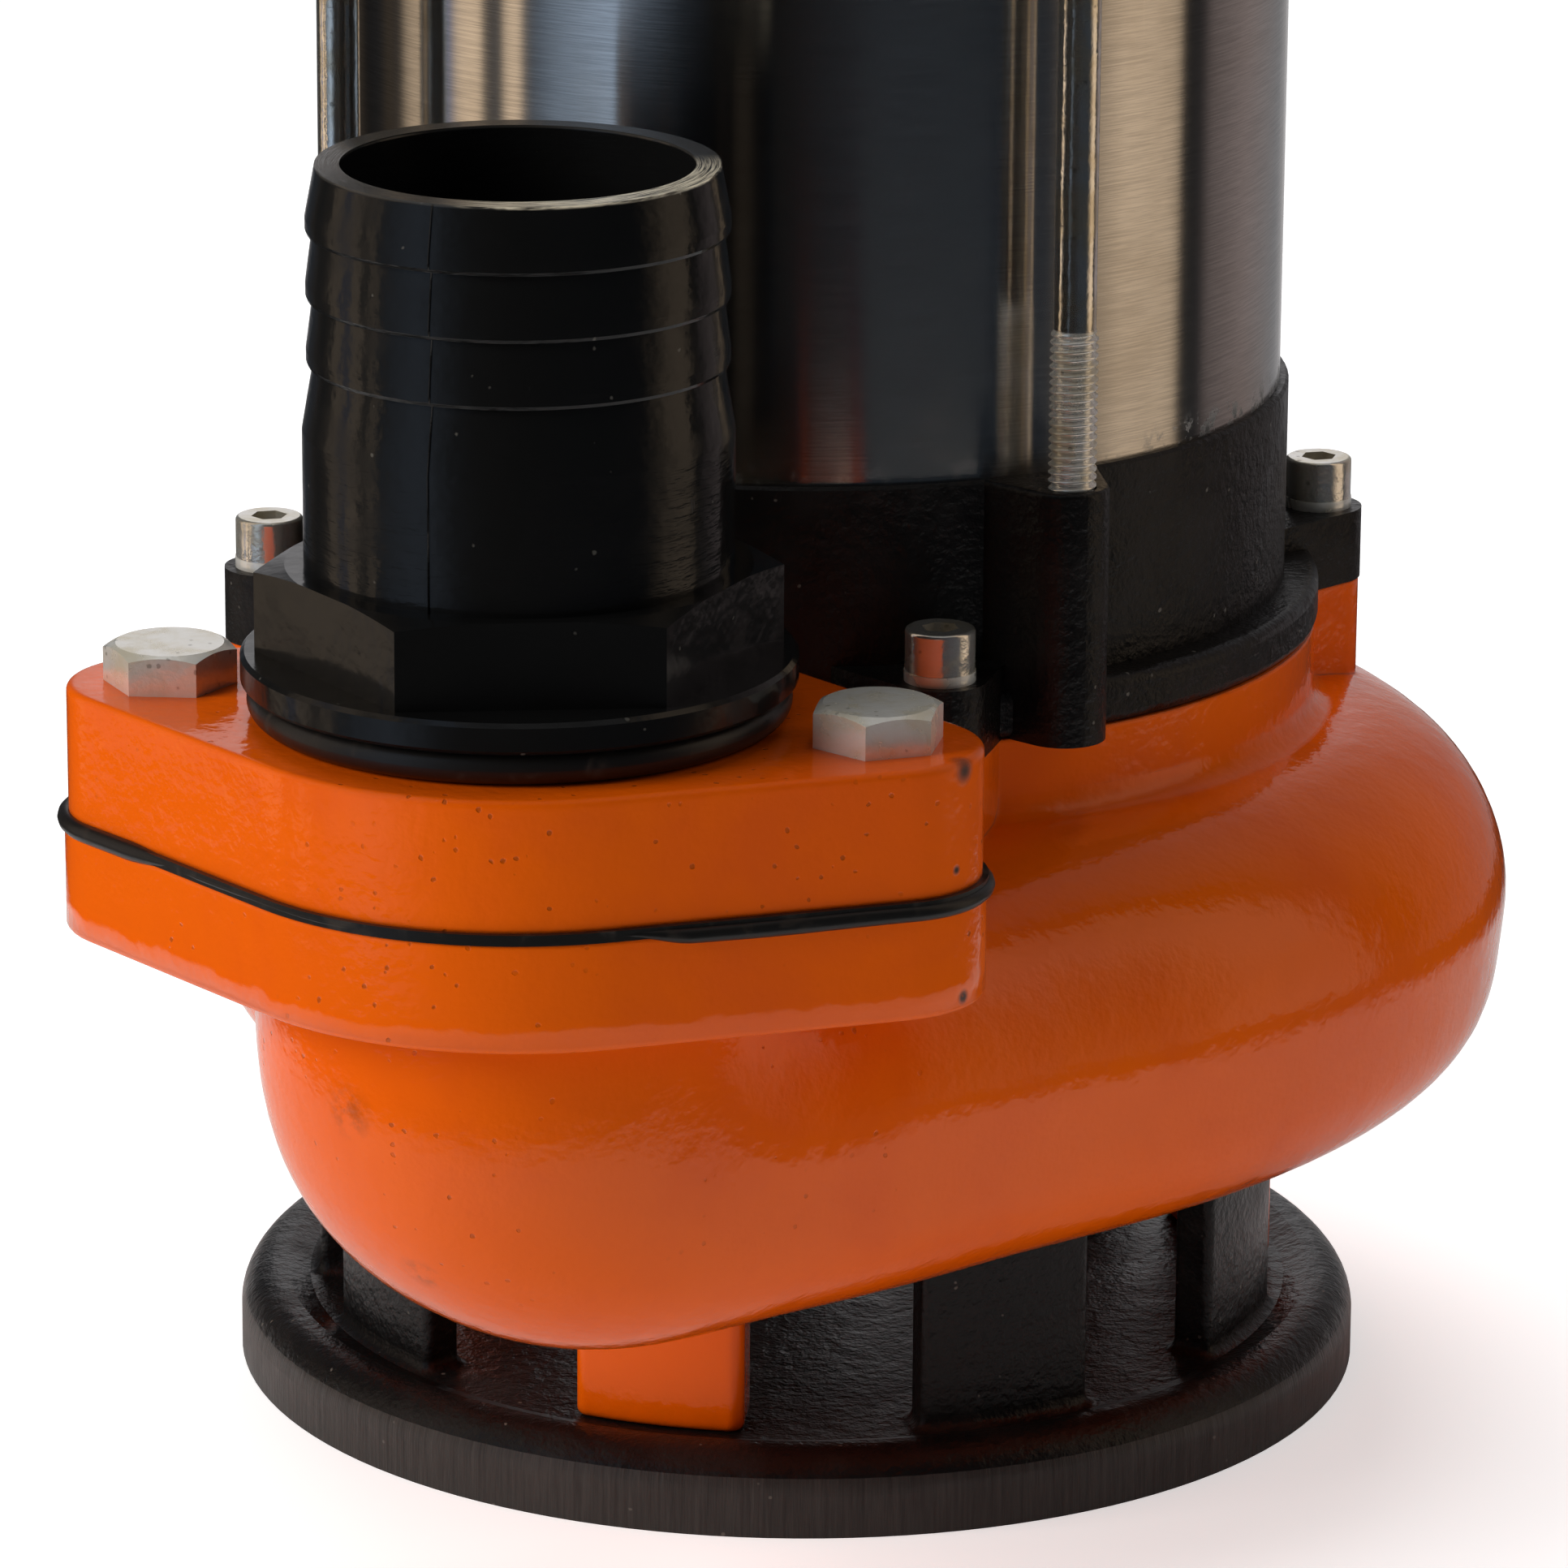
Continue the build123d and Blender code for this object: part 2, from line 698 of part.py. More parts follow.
def make_stand():
    plate = disc(base_radius, 0, base_height)
    plate = fillet(plate.edges().group_by(Axis.Z)[-1], base_edge_round)
    floor_radius = base_radius - base_rim_width
    plate -= turned((0, base_floor), (floor_radius - base_rim_slope, base_floor),
                    (floor_radius, base_height), (floor_radius, base_height + 1),
                    (0, base_height + 1))
    plate -= disc(base_radius - base_rest_width, -1, base_relief)
    post_top = volute_bottom - post_gap
    for angle in post_angles:
        post = sector(foot_outer_radius - post_thickness, foot_outer_radius, angle, post_span,
                      base_floor - 1, post_top)
        plate += fillet(post.edges().filter_by(Axis.Z), post_corner_round)
    plate = fillet(post_root_edges(plate), post_root_round)
    for foot in foot_angles():
        circle = (foot_inner_radius + foot_outer_radius) / 2
        plate -= screw_hole(circle, foot, base_screw_radius + bolt_clearance, -1, base_height + 1)
        plate -= screw_hole(circle, foot, base_screw_head_radius + bolt_clearance,
                            -1, base_screw_seat)
    return plate


def post_root_edges(plate):
    """The edges round the foot of every guard post, on the stand's floor."""
    def at_root(edge):
        middle = edge @ 0.5
        reach = Vector(middle.X, middle.Y).length
        return abs(middle.Z - base_floor) < 0.01 and reach < foot_outer_radius + 0.1
    return [edge for edge in plate.edges() if at_root(edge)]


def make_base_screws():
    screws = []
    for foot in foot_angles():
        circle = (foot_inner_radius + foot_outer_radius) / 2
        head_low = base_screw_seat - base_screw_head_height
        head = Pos(0, 0, head_low) * Cylinder(
            base_screw_head_radius, base_screw_head_height, align=bottom)
        shank = Pos(0, 0, head_low) * Cylinder(
            base_screw_radius, base_screw_head_height + base_screw_length, align=bottom)
        socket = hexagon(base_screw_socket_width, head_low - 1, head_low + base_screw_socket_depth)
        screws.append(place(circle, foot) * (head + shank - socket))
    return screws


save("base_stand", make_stand())
save("base_screws", *make_base_screws())


# Oil chamber housing between the volute and the motor

def rod_boss(low, high):
    """The boss of one tie rod, out from the wall past the rod."""
    return flared(rod_boss_reach, rod_boss_width, rod_boss_root_half_width, low, high)


def oil_plug_seat(reach):
    """A location on the oil plug's axis, at a distance from the shaft."""
    return place(0, oil_plug_angle, joint_height + oil_plug_rise) * Rot(0, 90, 0) * Pos(0, 0, reach)


def make_housing():
    spigot_low = joint_height - housing_spigot_drop
    bearing_low = lower_bearing_height
    bearing_high = lower_bearing_height + lower_bearing_width
    pocket = lower_bearing_outer_radius + seat_clearance
    journal = shaft_seal_radius + journal_clearance
    floor = bearing_high + bearing_boss_rise
    spigot = shell_bore_radius - push_clearance
    profile = [(oil_chamber_radius, spigot_low),
               (collar_bore_radius - push_clearance, spigot_low),
               (collar_bore_radius - push_clearance, joint_height),
               (housing_radius, joint_height),
               (housing_radius, seam_height - housing_edge),
               (housing_radius - housing_edge, seam_height),
               (spigot, seam_height),
               (spigot, seam_height + housing_spigot_height),
               (spigot - housing_wall, seam_height + housing_spigot_height),
               (spigot - housing_wall, floor),
               (pocket + bearing_boss_wall, bearing_high + bearing_recess),
               (pocket, bearing_high + bearing_recess),
               (pocket, bearing_low),
               (oil_seal_radius + push_clearance, bearing_low),
               (oil_seal_radius + push_clearance, oil_seal_bottom - push_clearance),
               (journal, oil_seal_bottom - push_clearance),
               (journal, oil_chamber_top),
               (oil_chamber_radius, oil_chamber_top)]
    body = turned(*profile)
    lip = disc(lip_radius, joint_height, joint_height + lip_thickness)
    lip = fillet(lip.edges().filter_by(GeomType.CIRCLE), lip_round)
    body += lip - disc(housing_radius - 1, joint_height - 1, joint_height + lip_thickness + 1)
    for angle in rod_angles:
        boss = rod_boss(joint_height, seam_height)
        body += place(0, angle) * fillet(boss.edges().group_by(Axis.Z)[-1], rod_boss_edge)
    for angle in lug_angles():
        body += lug(angle, joint_height, lug_top)
    body -= disc(oil_chamber_radius, spigot_low - 1, oil_chamber_top)
    body -= disc(seal_plate_radius + push_clearance, spigot_low - 1,
                 spigot_low + seal_plate_thickness)
    body -= disc(spigot - housing_wall, floor, seam_height + housing_spigot_height + 1)
    for angle in lug_angles():
        body -= screw_hole(lug_circle_radius, angle, cap_screw_radius + bolt_clearance,
                           joint_height - 1, lug_top + 1)
    for angle in rod_angles:
        body -= screw_hole(rod_circle_radius, angle, rod_thread_radius + thread_clearance,
                           seam_height - rod_engagement - 1, seam_height + 1)
    # The oil plug screws into a round pad at the back.
    pad_root = housing_radius - housing_wall / 2
    body += oil_plug_seat(pad_root) * Cylinder(
        oil_plug_pad_radius, oil_plug_face - pad_root, align=bottom)
    hole_length = oil_plug_length + 1
    body -= oil_plug_seat(oil_plug_face - hole_length) * Cylinder(
        oil_plug_radius + thread_clearance, hole_length + 1, align=bottom)
    return body


def make_cap_screws():
    screws = []
    seat = lug_top + spring_washer_thickness
    for angle in lug_angles():
        head = Cylinder(cap_screw_head_radius, cap_screw_head_height, align=bottom)
        head = fillet(head.edges().group_by(Axis.Z)[-1], cap_screw_edge)
        socket = hexagon(cap_screw_socket_width, cap_screw_head_height - cap_screw_socket_depth,
                         cap_screw_head_height + 1)
        shank = Pos(0, 0, -cap_screw_length) * Cylinder(
            cap_screw_radius, cap_screw_length + 0.1, align=bottom)
        screws.append(place(lug_circle_radius, angle, seat) * (head + shank - socket))
    return screws


def make_spring_washers():
    washers = []
    for angle in lug_angles():
        body = Cylinder(cap_screw_head_radius + 0.1, spring_washer_thickness, align=bottom)
        body -= Cylinder(cap_screw_radius + bolt_clearance, spring_washer_thickness, align=bottom)
        slit = Pos(cap_screw_head_radius, 0, 0) * Rot(spring_washer_slit_tilt, 0, 0) * Box(
            2 * cap_screw_head_radius, spring_washer_slit, 4 * spring_washer_thickness)
        seat = place(lug_circle_radius, angle, lug_top) * Rot(0, 0, spring_washer_slit_turn)
        washers.append(seat * (body - slit))
    return washers


def make_oil_plug():
    plug = Cylinder(oil_plug_head_radius, oil_plug_head_height, align=bottom)
    plug += Pos(0, 0, -oil_plug_length) * Cylinder(
        oil_plug_radius, oil_plug_length + 1, align=bottom)
    plug -= hexagon(oil_plug_socket_width, oil_plug_head_height - oil_plug_socket_depth,
                    oil_plug_head_height + 1)
    washer = Cylinder(oil_plug_washer_radius, oil_plug_washer_thickness, align=bottom)
    washer -= Cylinder(oil_plug_radius + push_clearance, oil_plug_washer_thickness, align=bottom)
    plug_seat = oil_plug_seat(oil_plug_face + oil_plug_washer_thickness)
    return plug_seat * plug, oil_plug_seat(oil_plug_face) * washer


def make_casing_oring():
    room = joint_height - housing_spigot_drop - collar_bore_low
    circle = Pos(collar_bore_radius - room / 2 - push_clearance, collar_bore_low + room / 2) * Circle(
        room / 2 - seat_clearance)
    return revolve(Plane.XZ * circle, Axis.Z)


save("oil_housing", make_housing())
save("housing_screws", *make_cap_screws())
save("spring_washers", *make_spring_washers())
oil_plug, oil_plug_washer = make_oil_plug()
save("oil_plug", oil_plug)
save("oil_plug_washer", oil_plug_washer)
save("casing_oring", make_casing_oring())


# Shaft, impeller and what turns with them

hub_low = impeller_top - hub_height
plate_low = joint_height - housing_spigot_drop
plate_high = plate_low + seal_plate_thickness
bearing_low = lower_bearing_height
bearing_high = lower_bearing_height + lower_bearing_width
upper_low = upper_bearing_height - upper_bearing_width / 2
upper_high = upper_low + upper_bearing_width


def make_shaft():
    end = hub_low - washer_thickness - nut_height - shaft_impeller_step
    impeller_step = hub_low + shaft_impeller_step
    lower_shoulder = bearing_low - shaft_shoulder_gap
    rotor_low = bearing_high + shaft_shoulder_rise
    rotor_high = upper_low - shaft_collar_height
    upper_shoulder = upper_low - shaft_shoulder_gap
    body = turned((0, end), (shaft_end_radius - shaft_chamfer, end),
                  (shaft_end_radius, end + shaft_chamfer), (shaft_end_radius, impeller_step),
                  (shaft_impeller_radius, impeller_step), (shaft_impeller_radius, impeller_top),
                  (shaft_seal_radius, impeller_top), (shaft_seal_radius, lower_shoulder),
                  (shaft_bearing_radius, lower_shoulder), (shaft_bearing_radius, rotor_low),
                  (shaft_rotor_radius, rotor_low), (shaft_rotor_radius, rotor_high),
                  (shaft_collar_radius, rotor_high), (shaft_collar_radius, upper_shoulder),
                  (shaft_top_radius, upper_shoulder), (shaft_top_radius, upper_high + 1),
                  (0, upper_high + 1))
    slot = Pos(shaft_impeller_radius, 0, hub_low + hub_height / 2) * Box(
        2 * key_depth, key_width + 0.1, key_length + 0.1)
    return body - slot


def make_impeller():
    shroud_low = impeller_top - shroud_thickness
    shroud = disc(impeller_radius, shroud_low, impeller_top)
    shroud = fillet(shroud.edges().group_by(Axis.Z)[-1], shroud_edge_round)
    hub = turned((0, hub_low), (hub_nose_radius, hub_low), (hub_radius, hub_low + hub_nose_height),
                 (hub_top_radius, shroud_low - 2), (hub_fillet_radius, shroud_low + 0.5),
                 (0, impeller_top))
    body = shroud + hub
    # Each blade is a swept-back arc from the hub to the rim, seen from above.
    blade_low = shroud_low - blade_height
    for i in range(blade_count):
        spine = ThreePointArc((hub_nose_radius, 0), blade_middle, blade_tip)
        blade = extrude(SlotArc(spine, blade_thickness).face(), blade_height + 1)
        body += Rot(0, 0, i * 360 / blade_count) * Pos(0, 0, blade_low) * blade
    body &= disc(impeller_radius, blade_low, impeller_top)
    body -= disc(shaft_impeller_radius + seat_clearance, blade_low - 1, impeller_top + 1)
    body -= disc(nut_pocket_radius, blade_low - 1, hub_low)
    keyway = Pos(shaft_impeller_radius, 0, hub_low + hub_height / 2) * Box(
        2 * key_depth + 0.2, key_width + 0.1, hub_height + 1)
    return body - keyway


def make_key():
    return Pos(shaft_impeller_radius, 0, hub_low + hub_height / 2) * Box(
        2 * key_depth - 0.1, key_width, key_length)


def bearing(bore, outer, width, count):
    """A deep-groove ball bearing: outer race, inner race and balls, standing on z = 0."""
    wall = (outer - bore) * race_thickness_share
    pitch = (outer + bore) / 2
    ball = (outer - bore) * ball_radius_share
    groove = revolve(Plane.XZ * (Pos(pitch, width / 2) * Circle(ball + ball_play)), Axis.Z)
    outer_race = ring(outer, outer - wall, 0, width) - groove
    inner_race = ring(bore + wall, bore, 0, width) - groove
    balls = [Rot(0, 0, i * 360 / count) * Pos(pitch, 0, width / 2) * Sphere(ball)
             for i in range(count)]
    return outer_race, inner_race, balls


def save_bearing(name, low, bore, outer, width, count):
    outer_race, inner_race, balls = bearing(bore + seat_clearance, outer, width, count)
    move = Pos(0, 0, low)
    save(name + "_outer_race", move * outer_race)
    save(name + "_inner_race", move * inner_race)
    save(name + "_balls", *[move * ball for ball in balls])


def make_nut():
    body = chamfered_hexagon(nut_width, 0, nut_height)
    body = Pos(0, 0, hub_low - washer_thickness - nut_height) * body
    return body - disc(shaft_end_radius + thread_clearance, hub_low - 2 * nut_height, hub_low)


save("pump_shaft", make_shaft())
save("impeller", make_impeller())
save("impeller_key", make_key())
save("impeller_washer", ring(nut_width / 2 + washer_thickness, shaft_end_radius + push_clearance,
                             hub_low - washer_thickness, hub_low - seat_clearance))
save("impeller_nut", make_nut())
save_bearing("lower_bearing", bearing_low, shaft_bearing_radius, lower_bearing_outer_radius,
             lower_bearing_width, lower_ball_count)
save_bearing("upper_bearing", upper_low, shaft_top_radius, upper_bearing_outer_radius,
             upper_bearing_width, upper_ball_count)


# Shaft seals

head_low = plate_high + seal_face_gap
retainer_low = oil_chamber_top - turning_gap - retainer_thickness


def make_seal_plate():
    body = disc(seal_plate_radius, plate_low, plate_high - push_clearance)
    body -= disc(seat_radius + push_clearance, plate_high - seat_height, plate_high + 1)
    return body - disc(shaft_seal_radius + turning_gap + 1.5, plate_low - 1, plate_high + 1)


def make_seat_cup():
    return turned((seat_radius, plate_high - seat_height), (seat_radius, plate_high),
                  (seat_radius - seat_cup_wall, plate_high),
                  (seat_radius - seat_cup_wall, plate_high - seat_height + seat_cup_floor),
                  (shaft_seal_radius + 2, plate_high - seat_height + seat_cup_floor),
                  (shaft_seal_radius + 2, plate_high - seat_height))


def make_seal_spring():
    low = head_low + head_height + seal_spring_gap
    rise = retainer_low - seal_spring_gap - low - 2 * spring_wire_radius
    radius = shaft_seal_radius + spring_wire_radius + turning_gap
    path = Pos(0, 0, low + spring_wire_radius) * Helix(rise / spring_turns, rise, radius)
    start = Plane(origin=path @ 0, z_dir=path % 0)
    return sweep(start * Circle(spring_wire_radius), path)


save("seal_plate", make_seal_plate())
save("seal_seat_cup", make_seat_cup())
save("seal_seat", ring(seat_radius - seat_cup_wall - push_clearance, shaft_seal_radius + turning_gap,
                       plate_high - seat_height + seat_cup_floor + push_clearance, plate_high))
save("seal_head", ring(head_radius, shaft_seal_radius + seat_clearance,
                       head_low, head_low + head_height))
save("seal_spring", make_seal_spring())
save("seal_retainer", ring(retainer_radius, shaft_seal_radius + seat_clearance,
                           retainer_low, retainer_low + retainer_thickness))
save("shaft_oil_seal", ring(oil_seal_radius, shaft_seal_radius + running_clearance,
                            oil_seal_bottom, oil_seal_bottom + oil_seal_height))


# Motor

def make_stator():
    body = ring(shell_bore_radius - seat_clearance, stator_bore_radius, stator_bottom, stator_top)
    for i in range(stator_slots):
        slot = Pos(stator_bore_radius + tooth_tip + slot_depth / 2, 0, stator_bottom - 1) * Box(
            slot_depth, slot_width, stator_length + 2, align=bottom)
        body -= Rot(0, 0, i * 360 / stator_slots) * slot
    return body


def make_winding(low, high):
    return turned((winding_inner_radius, low), (winding_outer_radius - coil_round, low),
                  (winding_outer_radius, low + coil_round), (winding_outer_radius, high - coil_round),
                  (winding_outer_radius - coil_round, high), (winding_inner_radius, high))


def make_windings():
    """The two end turns, joined through the slots by the coil sides."""
    body = make_winding(stator_bottom - winding_height, stator_bottom - coil_end_gap)
    body += make_winding(stator_top + coil_end_gap, stator_top + winding_height)
    for i in range(stator_slots):
        side = Pos(stator_bore_radius + tooth_tip + slot_depth / 2, 0, stator_bottom - 1) * Box(
            slot_depth - 2 * coil_inset - coil_trim, slot_width - 2 * coil_inset,
            stator_length + 2, align=bottom)
        body += Rot(0, 0, i * 360 / stator_slots) * Pos(coil_shift, 0, 0) * side
    return body


rotor_radius = stator_bore_radius - rotor_air_gap
save("motor_shell", ring(shell_radius, shell_bore_radius, seam_height, shell_top))
save("stator_core", make_stator())
save("stator_windings", make_windings())
save("rotor_core", ring(rotor_radius, shaft_rotor_radius + seat_clearance, stator_bottom, stator_top))
save("rotor_cage_rings",
     *[ring(rotor_radius - cage_ring_outer_inset, rotor_radius - cage_ring_inner_inset,
            low, low + cage_ring_height)
       for low in (stator_bottom - cage_ring_height, stator_top)])


# Upper bearing bracket, preload spring and top cover

def make_bracket():
    pocket = upper_bearing_outer_radius + seat_clearance
    rim = shell_bore_radius - push_clearance
    body = turned((shaft_top_radius + 3, upper_low - 3.2), (pocket + 5, upper_low - 3.2),
                  (pocket + 6, bracket_bottom), (rim, bracket_bottom),
                  (rim, bracket_bottom + bracket_thickness),
                  (pocket + 5, bracket_bottom + bracket_thickness),
                  (pocket + 5, upper_high + 2), (pocket, upper_high + 2),
                  (pocket, upper_low - 1.4), (shaft_top_radius + 3, upper_low - 1.4))
    for i in range(4):
        body -= Rot(0, 0, 45 + 90 * i) * Pos(41, 0, bracket_bottom - 1) * Cylinder(
            6, bracket_thickness + 2, align=bottom)
    return body


def make_preload_spring():
    """A dished washer that presses the upper bearing's outer race downwards."""
    inner, outer = upper_bearing_outer_radius - 5.0, upper_bearing_outer_radius - 0.3
    low, lift, leaf = upper_low - 1.36, 0.9, 0.4
    return turned((inner, low + lift), (outer, low), (outer, low + leaf), (inner, low + lift + leaf))


def make_cover():
    outer = turned((0, shell_top), (cover_radius, shell_top),
                   (cover_radius, shell_top + cover_band),
                   (cover_top_radius + 7, cover_top - 8),
                   (cover_top_radius, cover_top), (0, cover_top))
    edges = outer.edges().filter_by(GeomType.CIRCLE).sort_by(Axis.Z)
    outer = fillet(edges[-2:], cover_edge_round)
    for angle in rod_angles:
        outer += place(0, angle) * rod_boss(shell_top, shell_top + cover_band - 2)
    outer += disc(shell_bore_radius - push_clearance, shell_top - cover_skirt, shell_top + 1)
    outer -= disc(shell_bore_radius - cover_wall, shell_top - cover_skirt - 1, shell_top + cover_band)
    outer -= turned((0, shell_top + cover_band - 1),
                    (shell_bore_radius - cover_wall, shell_top + cover_band - 1),
                    (shell_bore_radius - cover_wall - 0.1, shell_top + cover_band),
                    (cover_top_radius - cover_wall, cover_top - cover_wall),
                    (0, cover_top - cover_wall))
    for angle in rod_angles:
        outer -= screw_hole(rod_circle_radius, angle, rod_thread_radius + bolt_clearance,
                            shell_top - 1, shell_top + cover_band + 1)
    outer += place(gland_circle_radius, gland_angle, cover_top - 7) * Cylinder(
        gland_hex_width / 2 + 1.5, 9, align=bottom)
    outer -= screw_hole(gland_circle_radius, gland_angle, gland_thread_radius + thread_clearance,
                        cover_top - 8, cover_top + 4)
    for side in (-1, 1):
        outer += Pos(side * handle_span / 2, 0, cover_top - 7) * Cylinder(
            handle_width / 2 - 1, 9, align=bottom)
        outer -= Pos(side * handle_span / 2, 0, cover_top - 9) * Cylinder(
            handle_screw_radius + thread_clearance, 13, align=bottom)
    return outer


def make_rods():
    low = seam_height - rod_engagement
    top_face = shell_top + cover_band - 2
    rods = []
    for angle in rod_angles:
        rod = Pos(0, 0, low) * Cylinder(
            rod_thread_radius, rod_engagement + rod_thread_length, align=bottom)
        shank_low = seam_height + rod_thread_length
        shank_high = shell_top - 4
        rod += Pos(0, 0, shank_low) * Cylinder(
            rod_shank_radius, shank_high - shank_low, align=bottom)
        rod += Pos(0, 0, shank_high) * Cylinder(
            rod_thread_radius, top_face + rod_top_thread - 6 - shank_high, align=bottom)
        rods.append(place(rod_circle_radius, angle) * rod)
    return rods


def make_rod_nuts():
    low = shell_top + cover_band - 2 + 1.7
    nut = chamfered_hexagon(10, 0, 5) - Cylinder(rod_thread_radius + thread_clearance, 12)
    return [place(rod_circle_radius, angle, low) * nut for angle in rod_angles]


def make_rod_washers():
    low = shell_top + cover_band - 2 + 0.02
    washer = Cylinder(5.7, 1.6, align=bottom) - Cylinder(rod_thread_radius + bolt_clearance, 4)
    return [place(rod_circle_radius, angle, low) * washer for angle in rod_angles]


def make_handle():
    """A bent strap: two feet, two uprights and the grip, rounded at every bend."""
    foot_z = cover_top + 2 + handle_thickness / 2
    reach = handle_span / 2
    path = FilletPolyline((-reach - handle_foot_length / 2, 0, foot_z), (-reach + 11, 0, foot_z),
                          (-reach + 11, 0, foot_z + handle_height), (reach - 11, 0, foot_z + handle_height),
                          (reach - 11, 0, foot_z), (reach + handle_foot_length / 2, 0, foot_z),
                          radius=4.5)
    start = Plane(origin=path @ 0, x_dir=(0, 1, 0), z_dir=path % 0)
    body = sweep(start * RectangleRounded(handle_width, handle_thickness, 1.2), path)
    for side in (-1, 1):
        body -= Pos(side * reach, 0, foot_z) * Cylinder(handle_screw_radius + bolt_clearance, 12)
    return body


def make_handle_screws():
    seat = cover_top + 2 + handle_thickness
    screws = []
    for side in (-1, 1):
        head = chamfered_hexagon(10, 0, 4) + Pos(0, 0, -10) * Cylinder(
            handle_screw_radius, 10.1, align=bottom)
        screws.append(Pos(side * handle_span / 2, 0, seat) * head)
    return screws


def make_gland():
    seat = place(gland_circle_radius, gland_angle, cover_top + 2)
    body = Pos(0, 0, -9) * Cylinder(gland_thread_radius, 9, align=bottom)
    body += hexagon(gland_hex_width, 0, 6) + Pos(0, 0, 5) * Cylinder(
        gland_thread_radius, 8, align=bottom)
    body -= Pos(0, 0, -10) * Cylinder(gland_bore_radius + 2.5, 25, align=bottom)
    grommet = Pos(0, 0, 2) * Cylinder(gland_bore_radius + 2.4, 14, align=bottom)
    grommet -= Pos(0, 0, 1) * Cylinder(gland_bore_radius, 17, align=bottom)
    nut = chamfered_hexagon(gland_hex_width - 2, 7, 17)
    nut -= Pos(0, 0, 6) * Cylinder(gland_thread_radius + push_clearance, 7.4, align=bottom)
    nut -= Pos(0, 0, 10) * Cylinder(gland_bore_radius + 2.5, 8, align=bottom)
    return seat * body, seat * grommet, seat * nut


def make_capacitor():
    body = Rot(0, 90, 0) * Cylinder(capacitor_radius, capacitor_length)
    body = fillet(body.edges(), 1.5)
    return Pos(0, -capacitor_offset, shell_top + capacitor_lift) * body


def make_capacitor_clamp():
    height = shell_top + capacitor_lift
    low = bracket_bottom + bracket_thickness + seat_clearance
    bore = Rot(0, 90, 0) * Cylinder(capacitor_radius + seat_clearance, 3 * capacitor_radius)
    band = Rot(0, 90, 0) * Cylinder(capacitor_radius + 1.5, 12)
    leg = Pos(0, 0, low - height) * Box(10, 14, height - low, align=bottom)
    return Pos(0, -capacitor_offset, height) * (band + leg - bore)


save("bearing_bracket", make_bracket())
save("preload_spring", make_preload_spring())
save("top_cover", make_cover())
save("tie_rods", *make_rods())
save("rod_nuts", *make_rod_nuts())
save("rod_washers", *make_rod_washers())
save("carry_handle", make_handle())
save("handle_screws", *make_handle_screws())
gland_body, gland_grommet, gland_nut = make_gland()
save("gland_body", gland_body)
save("gland_grommet", gland_grommet)
save("gland_nut", gland_nut)
save("capacitor", make_capacitor())
save("capacitor_clamp", make_capacitor_clamp())
save("shell_orings", *[revolve(Plane.XZ * (Pos(shell_bore_radius - 1.3, height) * Circle(1.2)), Axis.Z)
                       for height in (seam_height + housing_spigot_height + 1.4,
                                      shell_top - cover_skirt - 1.4)])
print(len(written), "nodes written")
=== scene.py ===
# %% [markdown]
# # A submersible pump
# The pump stands on its black foot plate. Over it come the orange volute casing with its
# discharge flanges, the black oil chamber housing, and the stainless motor shell held by four
# tie rods. The CAD model is loaded first, as a fixed frame: every node is already in place, so
# this script only gives finishes, and adds the details that are too fine for the CAD.

# %% Load the frame
from math import cos, pi, radians, sin

import bpy
import numpy as np
from mathutils import Matrix, Vector


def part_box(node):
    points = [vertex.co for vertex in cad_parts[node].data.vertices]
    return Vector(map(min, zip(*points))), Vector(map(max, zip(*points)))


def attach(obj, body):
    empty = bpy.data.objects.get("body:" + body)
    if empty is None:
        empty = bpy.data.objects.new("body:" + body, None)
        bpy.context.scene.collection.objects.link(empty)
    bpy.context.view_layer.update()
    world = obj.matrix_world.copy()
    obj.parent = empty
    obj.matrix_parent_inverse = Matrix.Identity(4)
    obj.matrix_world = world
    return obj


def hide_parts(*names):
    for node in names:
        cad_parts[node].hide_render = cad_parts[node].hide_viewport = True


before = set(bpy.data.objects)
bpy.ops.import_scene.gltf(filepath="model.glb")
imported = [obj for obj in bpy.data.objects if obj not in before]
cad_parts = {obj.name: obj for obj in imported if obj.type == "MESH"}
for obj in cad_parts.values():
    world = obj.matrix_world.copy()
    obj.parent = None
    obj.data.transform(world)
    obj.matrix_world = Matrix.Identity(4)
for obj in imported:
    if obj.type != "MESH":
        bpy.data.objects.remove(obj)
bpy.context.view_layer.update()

# %% [markdown]
# ## Camera
# The photograph was taken from about a metre in front, a little above, with a long lens. Lens,
# place and tilt were worked out from the round edges whose real sizes are known: the hose
# fitting, the motor shell and the foot plate.

# %% Camera
lens_mm = 187.0
sensor_mm = 36.0
camera_place = Vector((0.0, -1.00533, 0.37734))
look_down = radians(16.735)
look_left = radians(0.1176)
roll = radians(0.3478)


def camera_matrix():
    """The camera's axes: -Z along the view, turned by the pan, the tilt and the small roll."""
    forward = Vector((-sin(look_left) * cos(look_down), cos(look_left) * cos(look_down),
                      -sin(look_down)))
    right = Vector((cos(look_left), sin(look_left), 0))
    up = right.cross(forward)
    rolled_right = right * cos(roll) + up * sin(roll)
    rolled_up = up * cos(roll) - right * sin(roll)
    turn = Matrix((rolled_right, rolled_up, -forward)).transposed().to_4x4()
    return Matrix.Translation(camera_place) @ turn


camera_data = bpy.data.cameras.new("photo_camera")
camera_data.lens = lens_mm
camera_data.sensor_width = sensor_mm
camera_data.clip_start = 0.01
camera_data.clip_end = 50.0
camera = bpy.data.objects.new("photo_camera", camera_data)
bpy.context.collection.objects.link(camera)
camera.matrix_world = camera_matrix()
bpy.context.scene.camera = camera
bpy.context.scene.view_settings.view_transform = "Standard"
print("camera at", [round(v, 3) for v in camera.location])

